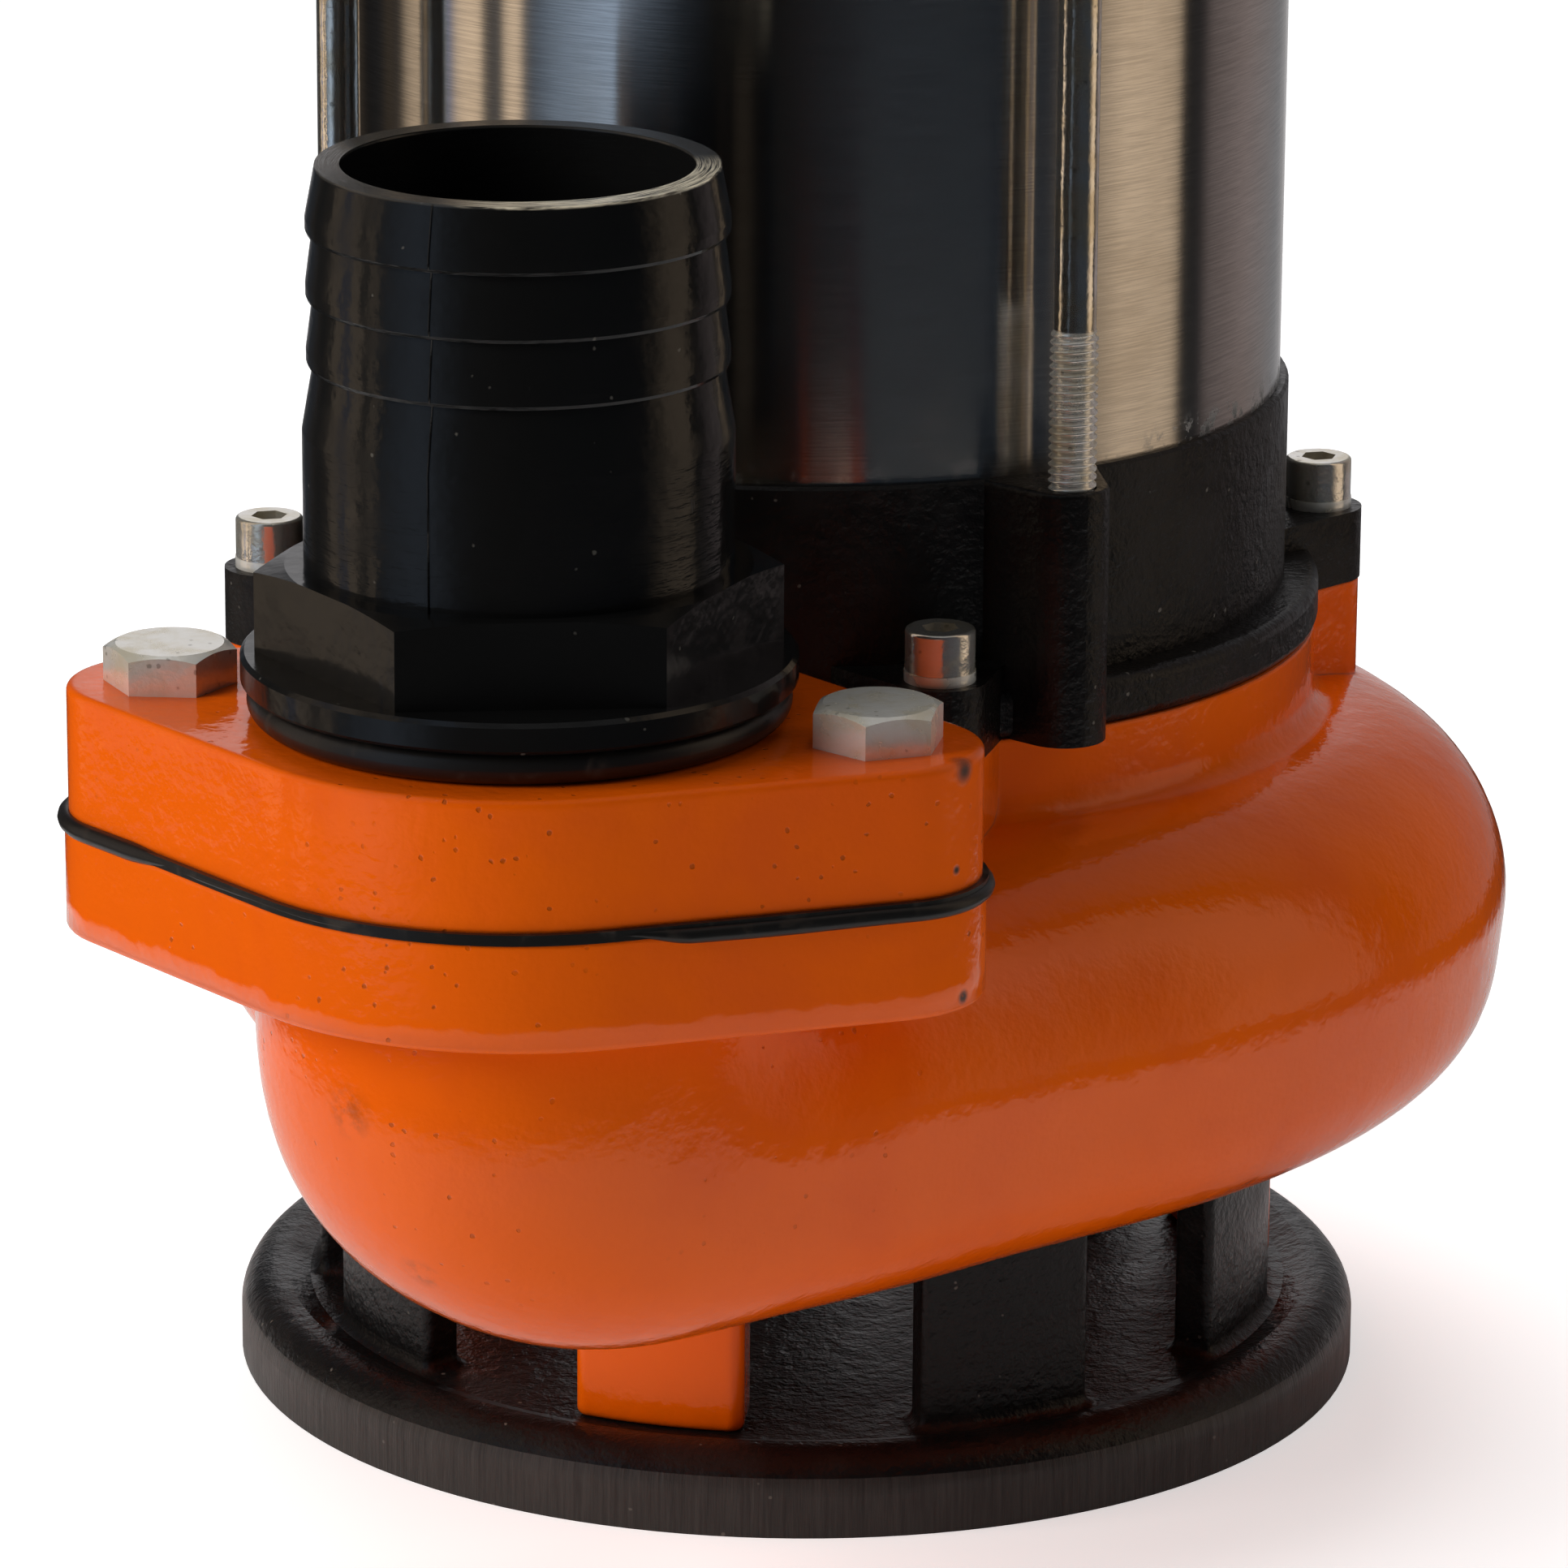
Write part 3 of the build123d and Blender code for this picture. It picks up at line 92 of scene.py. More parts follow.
# %% [markdown]
# ## A short way to write nodes
# A finish is a graph of shader nodes. Each helper adds one node and returns its output, so a
# graph reads like a sum: noise goes into a ramp, the ramp into a mix, the mix into the shader.

# %% Node helpers


def feed(tree, socket, value):
    """Link the socket to another node's output, or give it a constant."""
    if isinstance(value, bpy.types.NodeSocket):
        tree.links.new(value, socket)
    else:
        socket.default_value = value


class Graph:
    """Adds nodes to one node tree. An input may be a number, a colour or another output."""

    def __init__(self, tree):
        self.tree = tree

    def add(self, kind, inputs=None, **settings):
        made = self.tree.nodes.new(kind)
        for name, value in settings.items():
            setattr(made, name, value)
        for name, value in (inputs or {}).items():
            feed(self.tree, made.inputs[name], value)
        return made

    def math(self, operation, *values):
        made = self.add("ShaderNodeMath", dict(enumerate(values)), operation=operation)
        return made.outputs[0]

    def product(self, first, *others):
        """All the values multiplied."""
        for other in others:
            first = self.math("MULTIPLY", first, other)
        return first

    def vector(self, operation, *values):
        made = self.add("ShaderNodeVectorMath", dict(enumerate(values)), operation=operation)
        return made.outputs["Vector"]

    def measure(self, operation, *vectors):
        """One number from vectors: a length, a distance or a dot product."""
        made = self.add("ShaderNodeVectorMath", dict(enumerate(vectors)), operation=operation)
        return made.outputs["Value"]

    def split(self, vector):
        return self.add("ShaderNodeSeparateXYZ", {0: vector}).outputs

    def join(self, x, y, z):
        return self.add("ShaderNodeCombineXYZ", {0: x, 1: y, 2: z}).outputs[0]

    def place(self):
        return self.add("ShaderNodeTexCoord").outputs["Object"]

    def noise(self, place, scale, detail=2.0, roughness=0.5, distortion=0.0):
        made = self.add("ShaderNodeTexNoise", {
            "Vector": place, "Scale": scale, "Detail": detail, "Roughness": roughness,
            "Distortion": distortion})
        return made.outputs["Fac"]

    def band(self, value, low, high, out_low=0.0, out_high=1.0):
        """Values from low to high become out_low to out_high, smoothly, and stop there."""
        made = self.add("ShaderNodeMapRange", {
            "Value": value, "From Min": low, "From Max": high, "To Min": out_low,
            "To Max": out_high}, interpolation_type="SMOOTHSTEP")
        return made.outputs["Result"]

    def blend(self, amount, first, second):
        """One colour mixed into another. Sockets 0, 6 and 7 are the node's colour version."""
        made = self.add("ShaderNodeMix", {0: amount, 6: first, 7: second}, data_type="RGBA")
        return made.outputs[2]

    def bump(self, height, distance, strength=1.0, normal=None):
        inputs = {"Height": height, "Distance": distance, "Strength": strength}
        if normal is not None:
            inputs["Normal"] = normal
        return self.add("ShaderNodeBump", inputs).outputs["Normal"]

    def effect(self, group, **inputs):
        """The mask of a shared effect, with its inputs set for this finish."""
        return self.add("ShaderNodeGroup", inputs, node_tree=group).outputs["Mask"]


def new_effect(name, *values):
    """An empty node group that takes a place and the named values, and gives a mask. Returns its
    graph, what it is given, and the socket that the mask goes to."""
    tree = bpy.data.node_groups.new(name, "ShaderNodeTree")
    tree.interface.new_socket("Place", in_out="INPUT", socket_type="NodeSocketVector")
    for value in values:
        tree.interface.new_socket(value, in_out="INPUT", socket_type="NodeSocketFloat")
    tree.interface.new_socket("Mask", in_out="OUTPUT", socket_type="NodeSocketFloat")
    graph = Graph(tree)
    given = graph.add("NodeGroupInput").outputs
    return graph, given, graph.add("NodeGroupOutput").inputs["Mask"]


def new_material(name):
    """An empty material with its Principled shader wired to the output."""
    material = bpy.data.materials.new(name)
    material.use_nodes = True
    material.node_tree.nodes.clear()
    graph = Graph(material.node_tree)
    shader = graph.add("ShaderNodeBsdfPrincipled")
    output = graph.add("ShaderNodeOutputMaterial")
    graph.tree.links.new(shader.outputs[0], output.inputs["Surface"])
    return material, graph, shader


def wire(graph, shader, **sockets):
    """Set or link the shader's sockets. Underscores stand for the spaces in their names."""
    for name, value in sockets.items():
        feed(graph.tree, shader.inputs[name.replace("_", " ")], value)


def paint(material, *nodes):
    """Give CAD nodes this material."""
    for name in nodes:
        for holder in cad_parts[name].material_slots:
            holder.material = material


def linear(*shade):
    """A display colour, 0 to 255, as the linear colour that the shader works with."""
    values = [v / 255 for v in shade]
    return tuple(v / 12.92 if v <= 0.04045 else ((v + 0.055) / 1.055) ** 2.4 for v in values) + (1.0,)


# %% [markdown]
# ## Studio
# The photograph is a cut-out on white. The floor and the backdrop are pale, the lamps are large
# and soft, and a ring of light and dark cards stands round the pump. Only reflections see the
# cards. A photographer uses such cards to draw the bright stripes down a polished cylinder. A
# dark cloth lies on the floor some way out. Only reflections see it too, and it keeps the
# undersides and the black parts dark.

# %% Floor and world
floor_reach = 6.0
floor_glow = 0.52
floor_bounce = 0.30
floor_tone, cloth_tone = (0.86, 0.86, 0.86, 1), (0.02, 0.02, 0.02, 1)
dark_cloth_radius = (0.22, 0.28)
soft_fill = 0.10
ceiling = 0.30


def make_floor():
    """A square floor. It glows for the camera and for soft light, and the cloth's tone takes over
    for reflections past the cloth's edge."""
    reach = floor_reach
    corners = [(-reach, -reach, 0), (reach, -reach, 0), (reach, reach, 0), (-reach, reach, 0)]
    mesh = bpy.data.meshes.new("studio_floor")
    mesh.from_pydata(corners, [], [(0, 1, 2, 3)])
    floor = bpy.data.objects.new("studio_floor", mesh)
    bpy.context.collection.objects.link(floor)
    material, graph, shader = new_material("studio_floor")
    rays = graph.add("ShaderNodeLightPath").outputs
    seen = graph.product(rays["Is Camera Ray"], floor_glow)
    seen = graph.math("MULTIPLY_ADD", rays["Is Diffuse Ray"], floor_bounce, seen)
    away = graph.measure("LENGTH", graph.place())
    cloth = graph.product(rays["Is Glossy Ray"], graph.band(away, *dark_cloth_radius))
    tone = graph.blend(cloth, floor_tone, cloth_tone)
    wire(graph, shader, Base_Color=tone, Roughness=0.9, Specular_IOR_Level=0.0,
         Emission_Color=(1, 1, 1, 1), Emission_Strength=seen)
    mesh.materials.append(material)


def make_world():
    """White for the camera, a weak even fill for soft light and a dim ceiling for reflections."""
    world = bpy.data.worlds.new("studio_world")
    bpy.context.scene.world = world
    world.use_nodes = True
    world.node_tree.nodes.clear()
    graph = Graph(world.node_tree)
    rays = graph.add("ShaderNodeLightPath").outputs
    strength = graph.math("MULTIPLY_ADD", rays["Is Camera Ray"], 1.0 - soft_fill, soft_fill)
    strength = graph.math("MULTIPLY_ADD", rays["Is Glossy Ray"], ceiling - soft_fill, strength)
    background = graph.add("ShaderNodeBackground", {"Color": (1, 1, 1, 1), "Strength": strength})
    output = graph.add("ShaderNodeOutputWorld")
    graph.tree.links.new(background.outputs[0], output.inputs["Surface"])


make_floor()
make_world()
print("floor", floor_reach, "m each way, dark cloth from", dark_cloth_radius[0], "m out")

# %% Lamps
lamp_target = Vector((0, 0, 0.12))


def lamp(name, azimuth, height, distance, size, power, tint=(1, 1, 1)):
    """A square soft lamp. Azimuth 0 is at the camera's side, positive to the right."""
    data = bpy.data.lights.new(name, "AREA")
    data.shape = "SQUARE"
    data.size = size
    data.energy = power
    data.color = tint
    made = bpy.data.objects.new(name, data)
    turn = radians(azimuth)
    place = Vector((sin(turn) * distance, -cos(turn) * distance, height))
    aim = (lamp_target - place).to_track_quat("-Z", "Y")
    made.matrix_world = Matrix.Translation(place) @ aim.to_matrix().to_4x4()
    made.visible_glossy = False
    bpy.context.collection.objects.link(made)
    return made


lamps = [
    lamp("key_left", -66, 0.70, 1.15, 0.70, 12.0, tint=(1.0, 0.98, 0.95)),
    lamp("side_right", 96, 0.70, 1.15, 0.60, 2.6, tint=(0.97, 0.98, 1.0)),
    lamp("top_back", 180, 1.4, 0.5, 0.9, 11.5),
]
print(len(lamps), "lamps, none of them seen in reflections")

# %% Cards for the reflections
# Each stop is a direction in which the shell reflects, 0 at the camera's side and positive to the
# right, with the brightness and the tint of the card that stands there.
card_radius = 0.42
card_low, card_high = 0.0005, 0.9
card_columns = 720
shell_radius = 0.06045
pale, grey, rose = (1.0, 0.98, 1.0), (1.0, 1.0, 1.05), (1.0, 0.82, 0.80)
warm, cool, blue = (1.0, 0.77, 0.55), (1.0, 1.28, 1.70), (1.0, 1.35, 2.3)
card_stops = [
    (-180, 0.80, pale), (-170, 0.70, pale), (-163, 0.14, grey), (-150, 0.03, cool),
    (-137, 0.05, grey), (-131, 0.05, warm), (-128, 0.01, grey), (-120, 0.02, grey),
    (-116, 0.06, warm), (-111, 0.03, grey), (-108.5, 0.42, warm), (-106, 0.56, warm),
    (-98, 0.56, warm), (-96, 0.14, blue), (-92.5, 0.15, blue), (-90.5, 0.62, warm),
    (-89, 0.88, warm), (-82.5, 0.88, warm), (-81, 0.05, grey), (-76, 0.08, grey),
    (-74.5, 0.82, warm), (-71, 0.94, warm), (-69, 0.05, cool), (-61, 0.19, cool),
    (-46, 0.36, cool), (-38, 0.20, cool), (-29, 0.05, cool), (-21, 0.012, grey),
    (-5, 0.008, grey), (20, 0.018, cool), (60, 0.02, cool), (72, 0.40, warm), (81, 0.74, warm),
    (95, 0.68, warm), (99.5, 0.58, warm), (100.5, 0.02, grey), (108.5, 0.02, grey),
    (112, 0.14, rose), (130, 0.25, rose), (155, 0.22, grey), (165, 0.34, pale), (176, 0.76, pale),
    (180, 0.80, pale),
]


def card_colours(azimuth):
    """Colours round the drum, read from the stops. A reflection starts on the shell's wall and not
    on its axis, so each stop meets the drum a little nearer the front than its direction says."""
    stops = np.array([stop for stop, _, _ in card_stops])
    shift = np.degrees(np.arcsin(shell_radius / card_radius * np.sin(np.radians(stops / 2))))
    shift[[0, -1]] = 0
    tints = np.array([bright * np.array(tint) for _, bright, tint in card_stops])
    return np.stack([np.interp(azimuth, stops - shift, tints[:, i]) for i in range(3)], -1)


def make_cards():
    """A drum of cards: a ring of upright strips whose colour depends on the azimuth alone."""
    azimuth = np.linspace(-180, 180, card_columns, endpoint=False)
    turn = np.radians(azimuth)
    ring = np.stack([np.sin(turn) * card_radius, -np.cos(turn) * card_radius], 1)
    low = np.column_stack([ring, np.full(card_columns, card_low)])
    high = np.column_stack([ring, np.full(card_columns, card_high)])
    step = np.arange(card_columns)
    after = (step + 1) % card_columns
    faces = np.stack([step, step + card_columns, after + card_columns, after], 1)
    mesh = bpy.data.meshes.new("studio_cards")
    mesh.from_pydata(np.concatenate([low, high]).tolist(), [], faces.tolist())
    colours = np.column_stack([card_colours(azimuth), np.ones(card_columns)])
    attribute = mesh.color_attributes.new("card_colour", "FLOAT_COLOR", "POINT")
    attribute.data.foreach_set("color", np.concatenate([colours, colours]).ravel())
    cards = bpy.data.objects.new("studio_cards", mesh)
    bpy.context.collection.objects.link(cards)
    material = bpy.data.materials.new("studio_cards")
    material.use_nodes = True
    material.node_tree.nodes.clear()
    graph = Graph(material.node_tree)
    stored = graph.add("ShaderNodeAttribute", attribute_name="card_colour")
    glow = graph.add("ShaderNodeEmission", {"Color": stored.outputs["Color"], "Strength": 1.0})
    output = graph.add("ShaderNodeOutputMaterial")
    graph.tree.links.new(glow.outputs[0], output.inputs["Surface"])
    mesh.materials.append(material)
    cards.visible_camera = False
    cards.visible_diffuse = False
    cards.visible_shadow = False
    cards.visible_transmission = False


make_cards()
print("cards coloured from", len(card_stops), "stops")

# %% [markdown]
# ## Effects that several finishes share
# A speck is a small blot in a random cell. A stain is a slow change of tone. A scratch is noise
# squeezed in one direction until it is a line. Each is one group with named inputs.

# %% Specks


def make_specks():
    """Mask of round blots: 1 within the size from a cell's point, in the share of cells chosen."""
    graph, given, mask = new_effect("specks", "Scale", "Size", "Share")
    wobble = graph.add("ShaderNodeTexNoise", {"Vector": given["Place"], "Scale": 900.0})
    wobble_reach = (0.0006, 0.0006, 0.0006)
    place = graph.vector("MULTIPLY_ADD", wobble.outputs["Color"], wobble_reach, given["Place"])
    cells = graph.add("ShaderNodeTexVoronoi", {"Vector": place, "Scale": given["Scale"]})
    chance = graph.split(cells.outputs["Color"])[0]
    chosen = graph.math("LESS_THAN", chance, given["Share"])
    near = graph.math("DIVIDE", cells.outputs["Distance"], given["Size"])
    blot = graph.band(near, 0.55, 1.0, 1.0, 0.0)
    feed(graph.tree, mask, graph.product(blot, chosen))
    return graph.tree


specks = make_specks()

# %% Stains


def make_stains():
    """Mask of slow patches: layered noise, cut between a low and a high level."""
    graph, given, mask = new_effect("stains", "Scale", "Low", "High")
    cloud = graph.noise(given["Place"], given["Scale"], 4.0, 0.6, 0.4)
    feed(graph.tree, mask, graph.band(cloud, given["Low"], given["High"]))
    return graph.tree


stains = make_stains()

# %% Scratches


def make_scratches():
    """Mask of thin lines: noise stretched along one axis of the given place, cut at a high level."""
    graph, given, mask = new_effect("scratches", "Scale", "Level")
    lines = graph.noise(given["Place"], given["Scale"], 3.0, 0.7)
    high = graph.math("ADD", given["Level"], 0.06)
    feed(graph.tree, mask, graph.band(lines, given["Level"], high))
    return graph.tree


scratches = make_scratches()

# %% Worn edges


def make_worn_edges():
    """Mask of sharp edges: how far the rounded normal leans from the flat one, broken by noise."""
    graph, given, mask = new_effect("worn_edges", "Radius", "Level")
    rounded = graph.add("ShaderNodeBevel", {"Radius": given["Radius"]}, samples=4)
    flat = graph.add("ShaderNodeNewGeometry").outputs["Normal"]
    lean = graph.math("SUBTRACT", 1.0, graph.measure("DOT_PRODUCT", rounded.outputs[0], flat))
    broken = graph.noise(given["Place"], 420.0, 4.0, 0.7)
    wear = graph.math("MULTIPLY_ADD", lean, 1.6, broken)
    high = graph.math("ADD", given["Level"], 0.08)
    feed(graph.tree, mask, graph.band(wear, given["Level"], high))
    return graph.tree


worn_edges = make_worn_edges()
print(len(bpy.data.node_groups), "shared effects")

# %% [markdown]
# ## Orange enamel
# The casing and its flange are cast iron under a thick sprayed enamel. It could be one glossy
# orange, but the real coat shows the casting below: a slow wave, orange peel, pinholes where the
# paint sank into pores, a darker tone where it is thin, and chips on the flange edges.

# %% Orange enamel
orange = linear(226, 92, 2)
orange_thin = linear(208, 74, 1)
orange_brown = linear(150, 66, 14)
primer_dark = linear(52, 40, 34)
coat_rounding = 0.0009
# The elbow and the flanges stand out in front of this depth and over this height.
pores_from_y, pores_from_z = -0.094, 0.045
# Hand smudges on the elbow and chips on the flange's ends: place in metres and radius.
smudges = [((-0.0514, -0.1239, 0.0728), 0.0045), ((-0.0433, -0.1209, 0.0520), 0.0035)]
chips = [((0.0182, -0.1185, 0.1125), 0.0022), ((0.0188, -0.1195, 0.0857), 0.0012),
         ((0.0180, -0.1200, 0.1010), 0.0008)]
# The lower flange's underside, and how far up from it the edge looks turned in.
flange_under = 0.0847
flange_under_round = 0.0046
flange_under_lean = -0.55


def ball_mask(graph, place, balls, scale, low, high):
    """Highest of some soft balls, broken up by noise of that scale cut between low and high."""
    highest = 0.0
    for centre, reach in balls:
        away = graph.measure("DISTANCE", place, centre)
        highest = graph.math("MAXIMUM", highest, graph.band(away, reach * 0.2, reach, 1.0, 0.0))
    return graph.product(highest, graph.band(graph.noise(place, scale, 5.0, 0.7), low, high))


def flange_under_mask(graph, place, z):
    """Mask of the flange's upright wall just over its underside, with a wavy upper border."""
    faces = graph.split(graph.add("ShaderNodeNewGeometry").outputs["Normal"])
    level = graph.math("ABSOLUTE", faces[2])
    wavy = graph.math("MULTIPLY_ADD", graph.noise(place, 190.0, 3.0, 0.6), 0.0028, z)
    below = graph.band(wavy, flange_under + 0.0014, flange_under + flange_under_round, 1.0, 0.0)
    above = graph.band(z, flange_under - 0.0010, flange_under - 0.0002)
    return graph.product(below, graph.band(level, 0.2, 0.4, 1.0, 0.0), above)


def make_orange_enamel():
    material, graph, shader = new_material("orange_enamel")
    place = graph.place()
    y, z = graph.split(place)[1:]
    thin = graph.effect(stains, Place=place, Scale=26.0, Low=0.40, High=0.75)
    tone = graph.blend(graph.product(thin, 0.55), orange, orange_thin)
    smudge = ball_mask(graph, place, smudges, 380.0, 0.40, 0.62)
    tone = graph.blend(graph.product(smudge, 0.6), tone, orange_brown)
    # Pores show where the coat is thin: on the flanges and on the elbow under them.
    region = graph.effect(stains, Place=place, Scale=34.0, Low=0.46, High=0.60)
    region = graph.product(region, graph.band(y, pores_from_y, pores_from_y - 0.010),
                           graph.band(z, pores_from_z, pores_from_z + 0.015))
    pores = graph.effect(specks, Place=place, Scale=760.0, Size=0.28, Share=0.15)
    pores = graph.product(pores, graph.math("MULTIPLY_ADD", region, 0.95, 0.01))
    tone = graph.blend(graph.product(pores, 0.75), tone, orange_brown)
    worn = graph.effect(worn_edges, Place=place, Radius=0.0006, Level=1.06)
    worn = graph.math("MAXIMUM", worn, ball_mask(graph, place, chips, 700.0, 0.30, 0.42))
    tone = graph.blend(worn, tone, primer_dark)
    # The coat rounds off sharp edges, and the flange's underside turns in over a few millimetres.
    soft_edge = graph.add("ShaderNodeBevel", {"Radius": coat_rounding}, samples=4).outputs[0]
    lean = graph.product(flange_under_mask(graph, place, z), flange_under_lean)
    soft_edge = graph.vector("NORMALIZE", graph.vector("ADD", soft_edge, graph.join(0.0, 0.0, lean)))
    peel = graph.noise(place, 900.0, 2.0, 0.5)
    wave = graph.noise(place, 150.0, 3.0, 0.55)
    height = graph.math("MULTIPLY_ADD", wave, 4.0, peel)
    height = graph.math("MULTIPLY_ADD", pores, -2.2, height)
    height = graph.math("MULTIPLY_ADD", worn, -1.5, height)
    normal = graph.bump(height, 0.00006, 0.8, normal=soft_edge)
    rough = graph.math("MULTIPLY_ADD", thin, 0.06, 0.09)
    rough = graph.math("MULTIPLY_ADD", worn, 0.4, rough)
    wire(graph, shader, Base_Color=tone, Roughness=rough, Normal=normal, Specular_IOR_Level=0.34)
    return material


orange_enamel = make_orange_enamel()
paint(orange_enamel, "volute_casing", "discharge_flange")
print("orange enamel on the casing and its flange")

# %% [markdown]
# ## Black paint on sand castings
# The stand, the oil chamber housing and the top cover keep the grain of the sand mould under a
# thin semi-gloss black. The grain is fine noise in the bump. Machined bands, such as the stand's
# rim, show vertical tool marks instead, so the grain fades there and stretched noise comes in.

# %% Black paint
paint_black, paint_dull = linear(17, 16, 16), linear(27, 25, 24)
settled_dust = linear(140, 132, 122)
rim_iron = linear(96, 90, 86)
rim_inner_radius = 0.0722
rim_high = 0.0086


def from_axis(graph, x, y):
    """Distance and turn about the upright axis through zero: the root of x x + y y, and the angle."""
    squares = graph.math("ADD", graph.product(x, x), graph.product(y, y))
    return graph.math("SQRT", squares), graph.math("ARCTAN2", y, x)


def make_black_paint():
    material, graph, shader = new_material("black_paint")
    place = graph.place()
    x, y, z = graph.split(place)
    grain = graph.noise(place, 900.0, 3.0, 0.62)
    lumps = graph.noise(place, 260.0, 3.0, 0.6)
    dull = graph.effect(stains, Place=place, Scale=60.0, Low=0.42, High=0.66)
    tone = graph.blend(dull, paint_black, paint_dull)
    dust = graph.effect(specks, Place=place, Scale=700.0, Size=0.22, Share=0.05)
    tone = graph.blend(graph.product(dust, 0.35), tone, settled_dust)
    # The machined rim: outside the rim's inner radius and under its rounding.
    radius, turn = from_axis(graph, x, y)
    rim = graph.product(graph.math("GREATER_THAN", radius, rim_inner_radius),
                        graph.band(z, rim_high - 0.0006, rim_high, 1.0, 0.0))
    streak_place = graph.join(graph.product(turn, 0.07), 0.0, graph.product(z, 0.05))
    streaks = graph.product(rim, graph.noise(streak_place, 1500.0, 3.0, 0.7))
    tone = graph.blend(graph.product(streaks, 0.55), tone, rim_iron)
    coarse = graph.math("MULTIPLY_ADD", lumps, 1.6, grain)
    kept = graph.math("MULTIPLY_ADD", rim, -0.75, 1.0)
    height = graph.math("MULTIPLY_ADD", streaks, 0.7, graph.product(coarse, kept))
    normal = graph.bump(height, 0.00022, 1.0)
    rough = graph.math("MULTIPLY_ADD", dull, 0.12, 0.32)
    wire(graph, shader, Base_Color=tone, Roughness=rough, Normal=normal, Specular_IOR_Level=0.27)
    return material


black_paint = make_black_paint()
paint(black_paint, "base_stand", "oil_housing", "top_cover")
print("black paint on three castings")

# %% [markdown]
# ## Glossy black plastic
# The hose fitting is injection moulded: almost a mirror, with a slow ripple that breaks up the
# card stripes, hair scratches from handling and a rim rubbed grey, with a cream highlight painted
# on the rim's front right.

# %% Black plastic
plastic_black, plastic_scuffed = linear(17, 17, 17), linear(80, 80, 82)
plastic_dust = linear(120, 116, 108)
# The second colour on the next line is the cream of the rim's painted highlight.
cut_grey, rim_painted_highlight = linear(66, 63, 59), linear(238, 226, 200)
fitting_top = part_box("hose_fitting")[1][2]
fitting_axis = (-0.0325, -0.1)
hex_top = 0.1317
# The turn round the fitting where the rim's painted highlight is brightest.
painted_highlight_turn = radians(-48)


def make_black_plastic():
    material, graph, shader = new_material("black_plastic")
    place = graph.place()
    x, y, z = graph.split(place)
    ripple = graph.noise(place, 120.0, 3.0, 0.6)
    fine = graph.noise(place, 1400.0, 2.0, 0.6)
    scuff_place = graph.join(x, y, graph.product(z, 0.16))
    scuffs = graph.effect(scratches, Place=scuff_place, Scale=520.0, Level=0.72)
    dust = graph.effect(specks, Place=place, Scale=520.0, Size=0.16, Share=0.08)
    dull = graph.effect(stains, Place=place, Scale=90.0, Low=0.46, High=0.62)
    tone = graph.blend(graph.product(scuffs, 0.15), plastic_black, plastic_scuffed)
    tone = graph.blend(graph.product(dust, 0.30), tone, plastic_dust)
    # The rim was cut on a lathe: fine rings round the fitting's axis, rubbed a little grey. Where the
    # rim faces front right, a cream highlight is painted into the colour along the rings.
    radius, turn = from_axis(graph, graph.math("SUBTRACT", x, fitting_axis[0]),
                             graph.math("SUBTRACT", y, fitting_axis[1]))
    rim = graph.band(z, fitting_top - 0.0004, fitting_top - 0.0001)
    rings = graph.noise(graph.join(graph.product(turn, 0.0006), radius, 0.0), 5200.0, 3.0, 0.7)
    tone = graph.blend(graph.product(rim, 0.6), tone, cut_grey)
    # Painted highlight: cream along the rings where the rim turns towards the front right.
    facing = graph.math("COSINE", graph.math("SUBTRACT", turn, painted_highlight_turn))
    painted_glint = graph.product(rim, graph.band(facing, 0.45, 0.85), graph.band(rings, 0.38, 0.60))
    tone = graph.blend(painted_glint, tone, rim_painted_highlight)
    # On the wall the mould left lines that run round it. They tear the edges of each reflection.
    lines = graph.noise(graph.join(graph.product(turn, 0.0045), 0.0, z), 950.0, 3.0, 0.6)
    lines = graph.product(lines, graph.band(z, hex_top, hex_top + 0.001))
    wall = graph.math("MULTIPLY_ADD", lines, 2.2, graph.product(ripple, 5.0))
    wall = graph.math("MULTIPLY_ADD", fine, 0.3, wall)
    # On the rim the rings take the wall's place.
    rings_for_wall = graph.math("SUBTRACT", graph.product(rings, 2.5), wall)
    height = graph.math("MULTIPLY_ADD", rings_for_wall, rim, wall)
    normal = graph.bump(height, 0.00006, 0.6)
    rough = graph.math("MULTIPLY_ADD", dull, 0.08, 0.15)
    rough = graph.math("MULTIPLY_ADD", scuffs, 0.25, rough)
    wire(graph, shader, Base_Color=tone, Roughness=rough, Normal=normal, Specular_IOR_Level=0.30)
    return material


black_plastic = make_black_plastic()
paint(black_plastic, "hose_fitting", "gland_body", "gland_nut", "capacitor")
print("black plastic on the hose fitting")

# %% [markdown]
# ## Brushed stainless steel
# The motor shell was polished while it turned, so its hair lines run round it. Such a surface
# blurs a reflection up and down and keeps it sharp sideways, which is why the cards show as
# clean vertical stripes. Anisotropy about the shell's axis does that. The hair lines are noise
# on the cylinder: slow round it, quick up it.

# %% Stainless shell
steel_bright, steel_hair = linear(218, 215, 210), linear(150, 148, 145)
steel_clouded, steel_scratched = linear(172, 160, 140), linear(235, 232, 226)
seam_oil = linear(34, 30, 27)
seam_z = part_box("motor_shell")[0][2]
seam_dirt_height = 0.0040
unrolled_radius = 0.0605


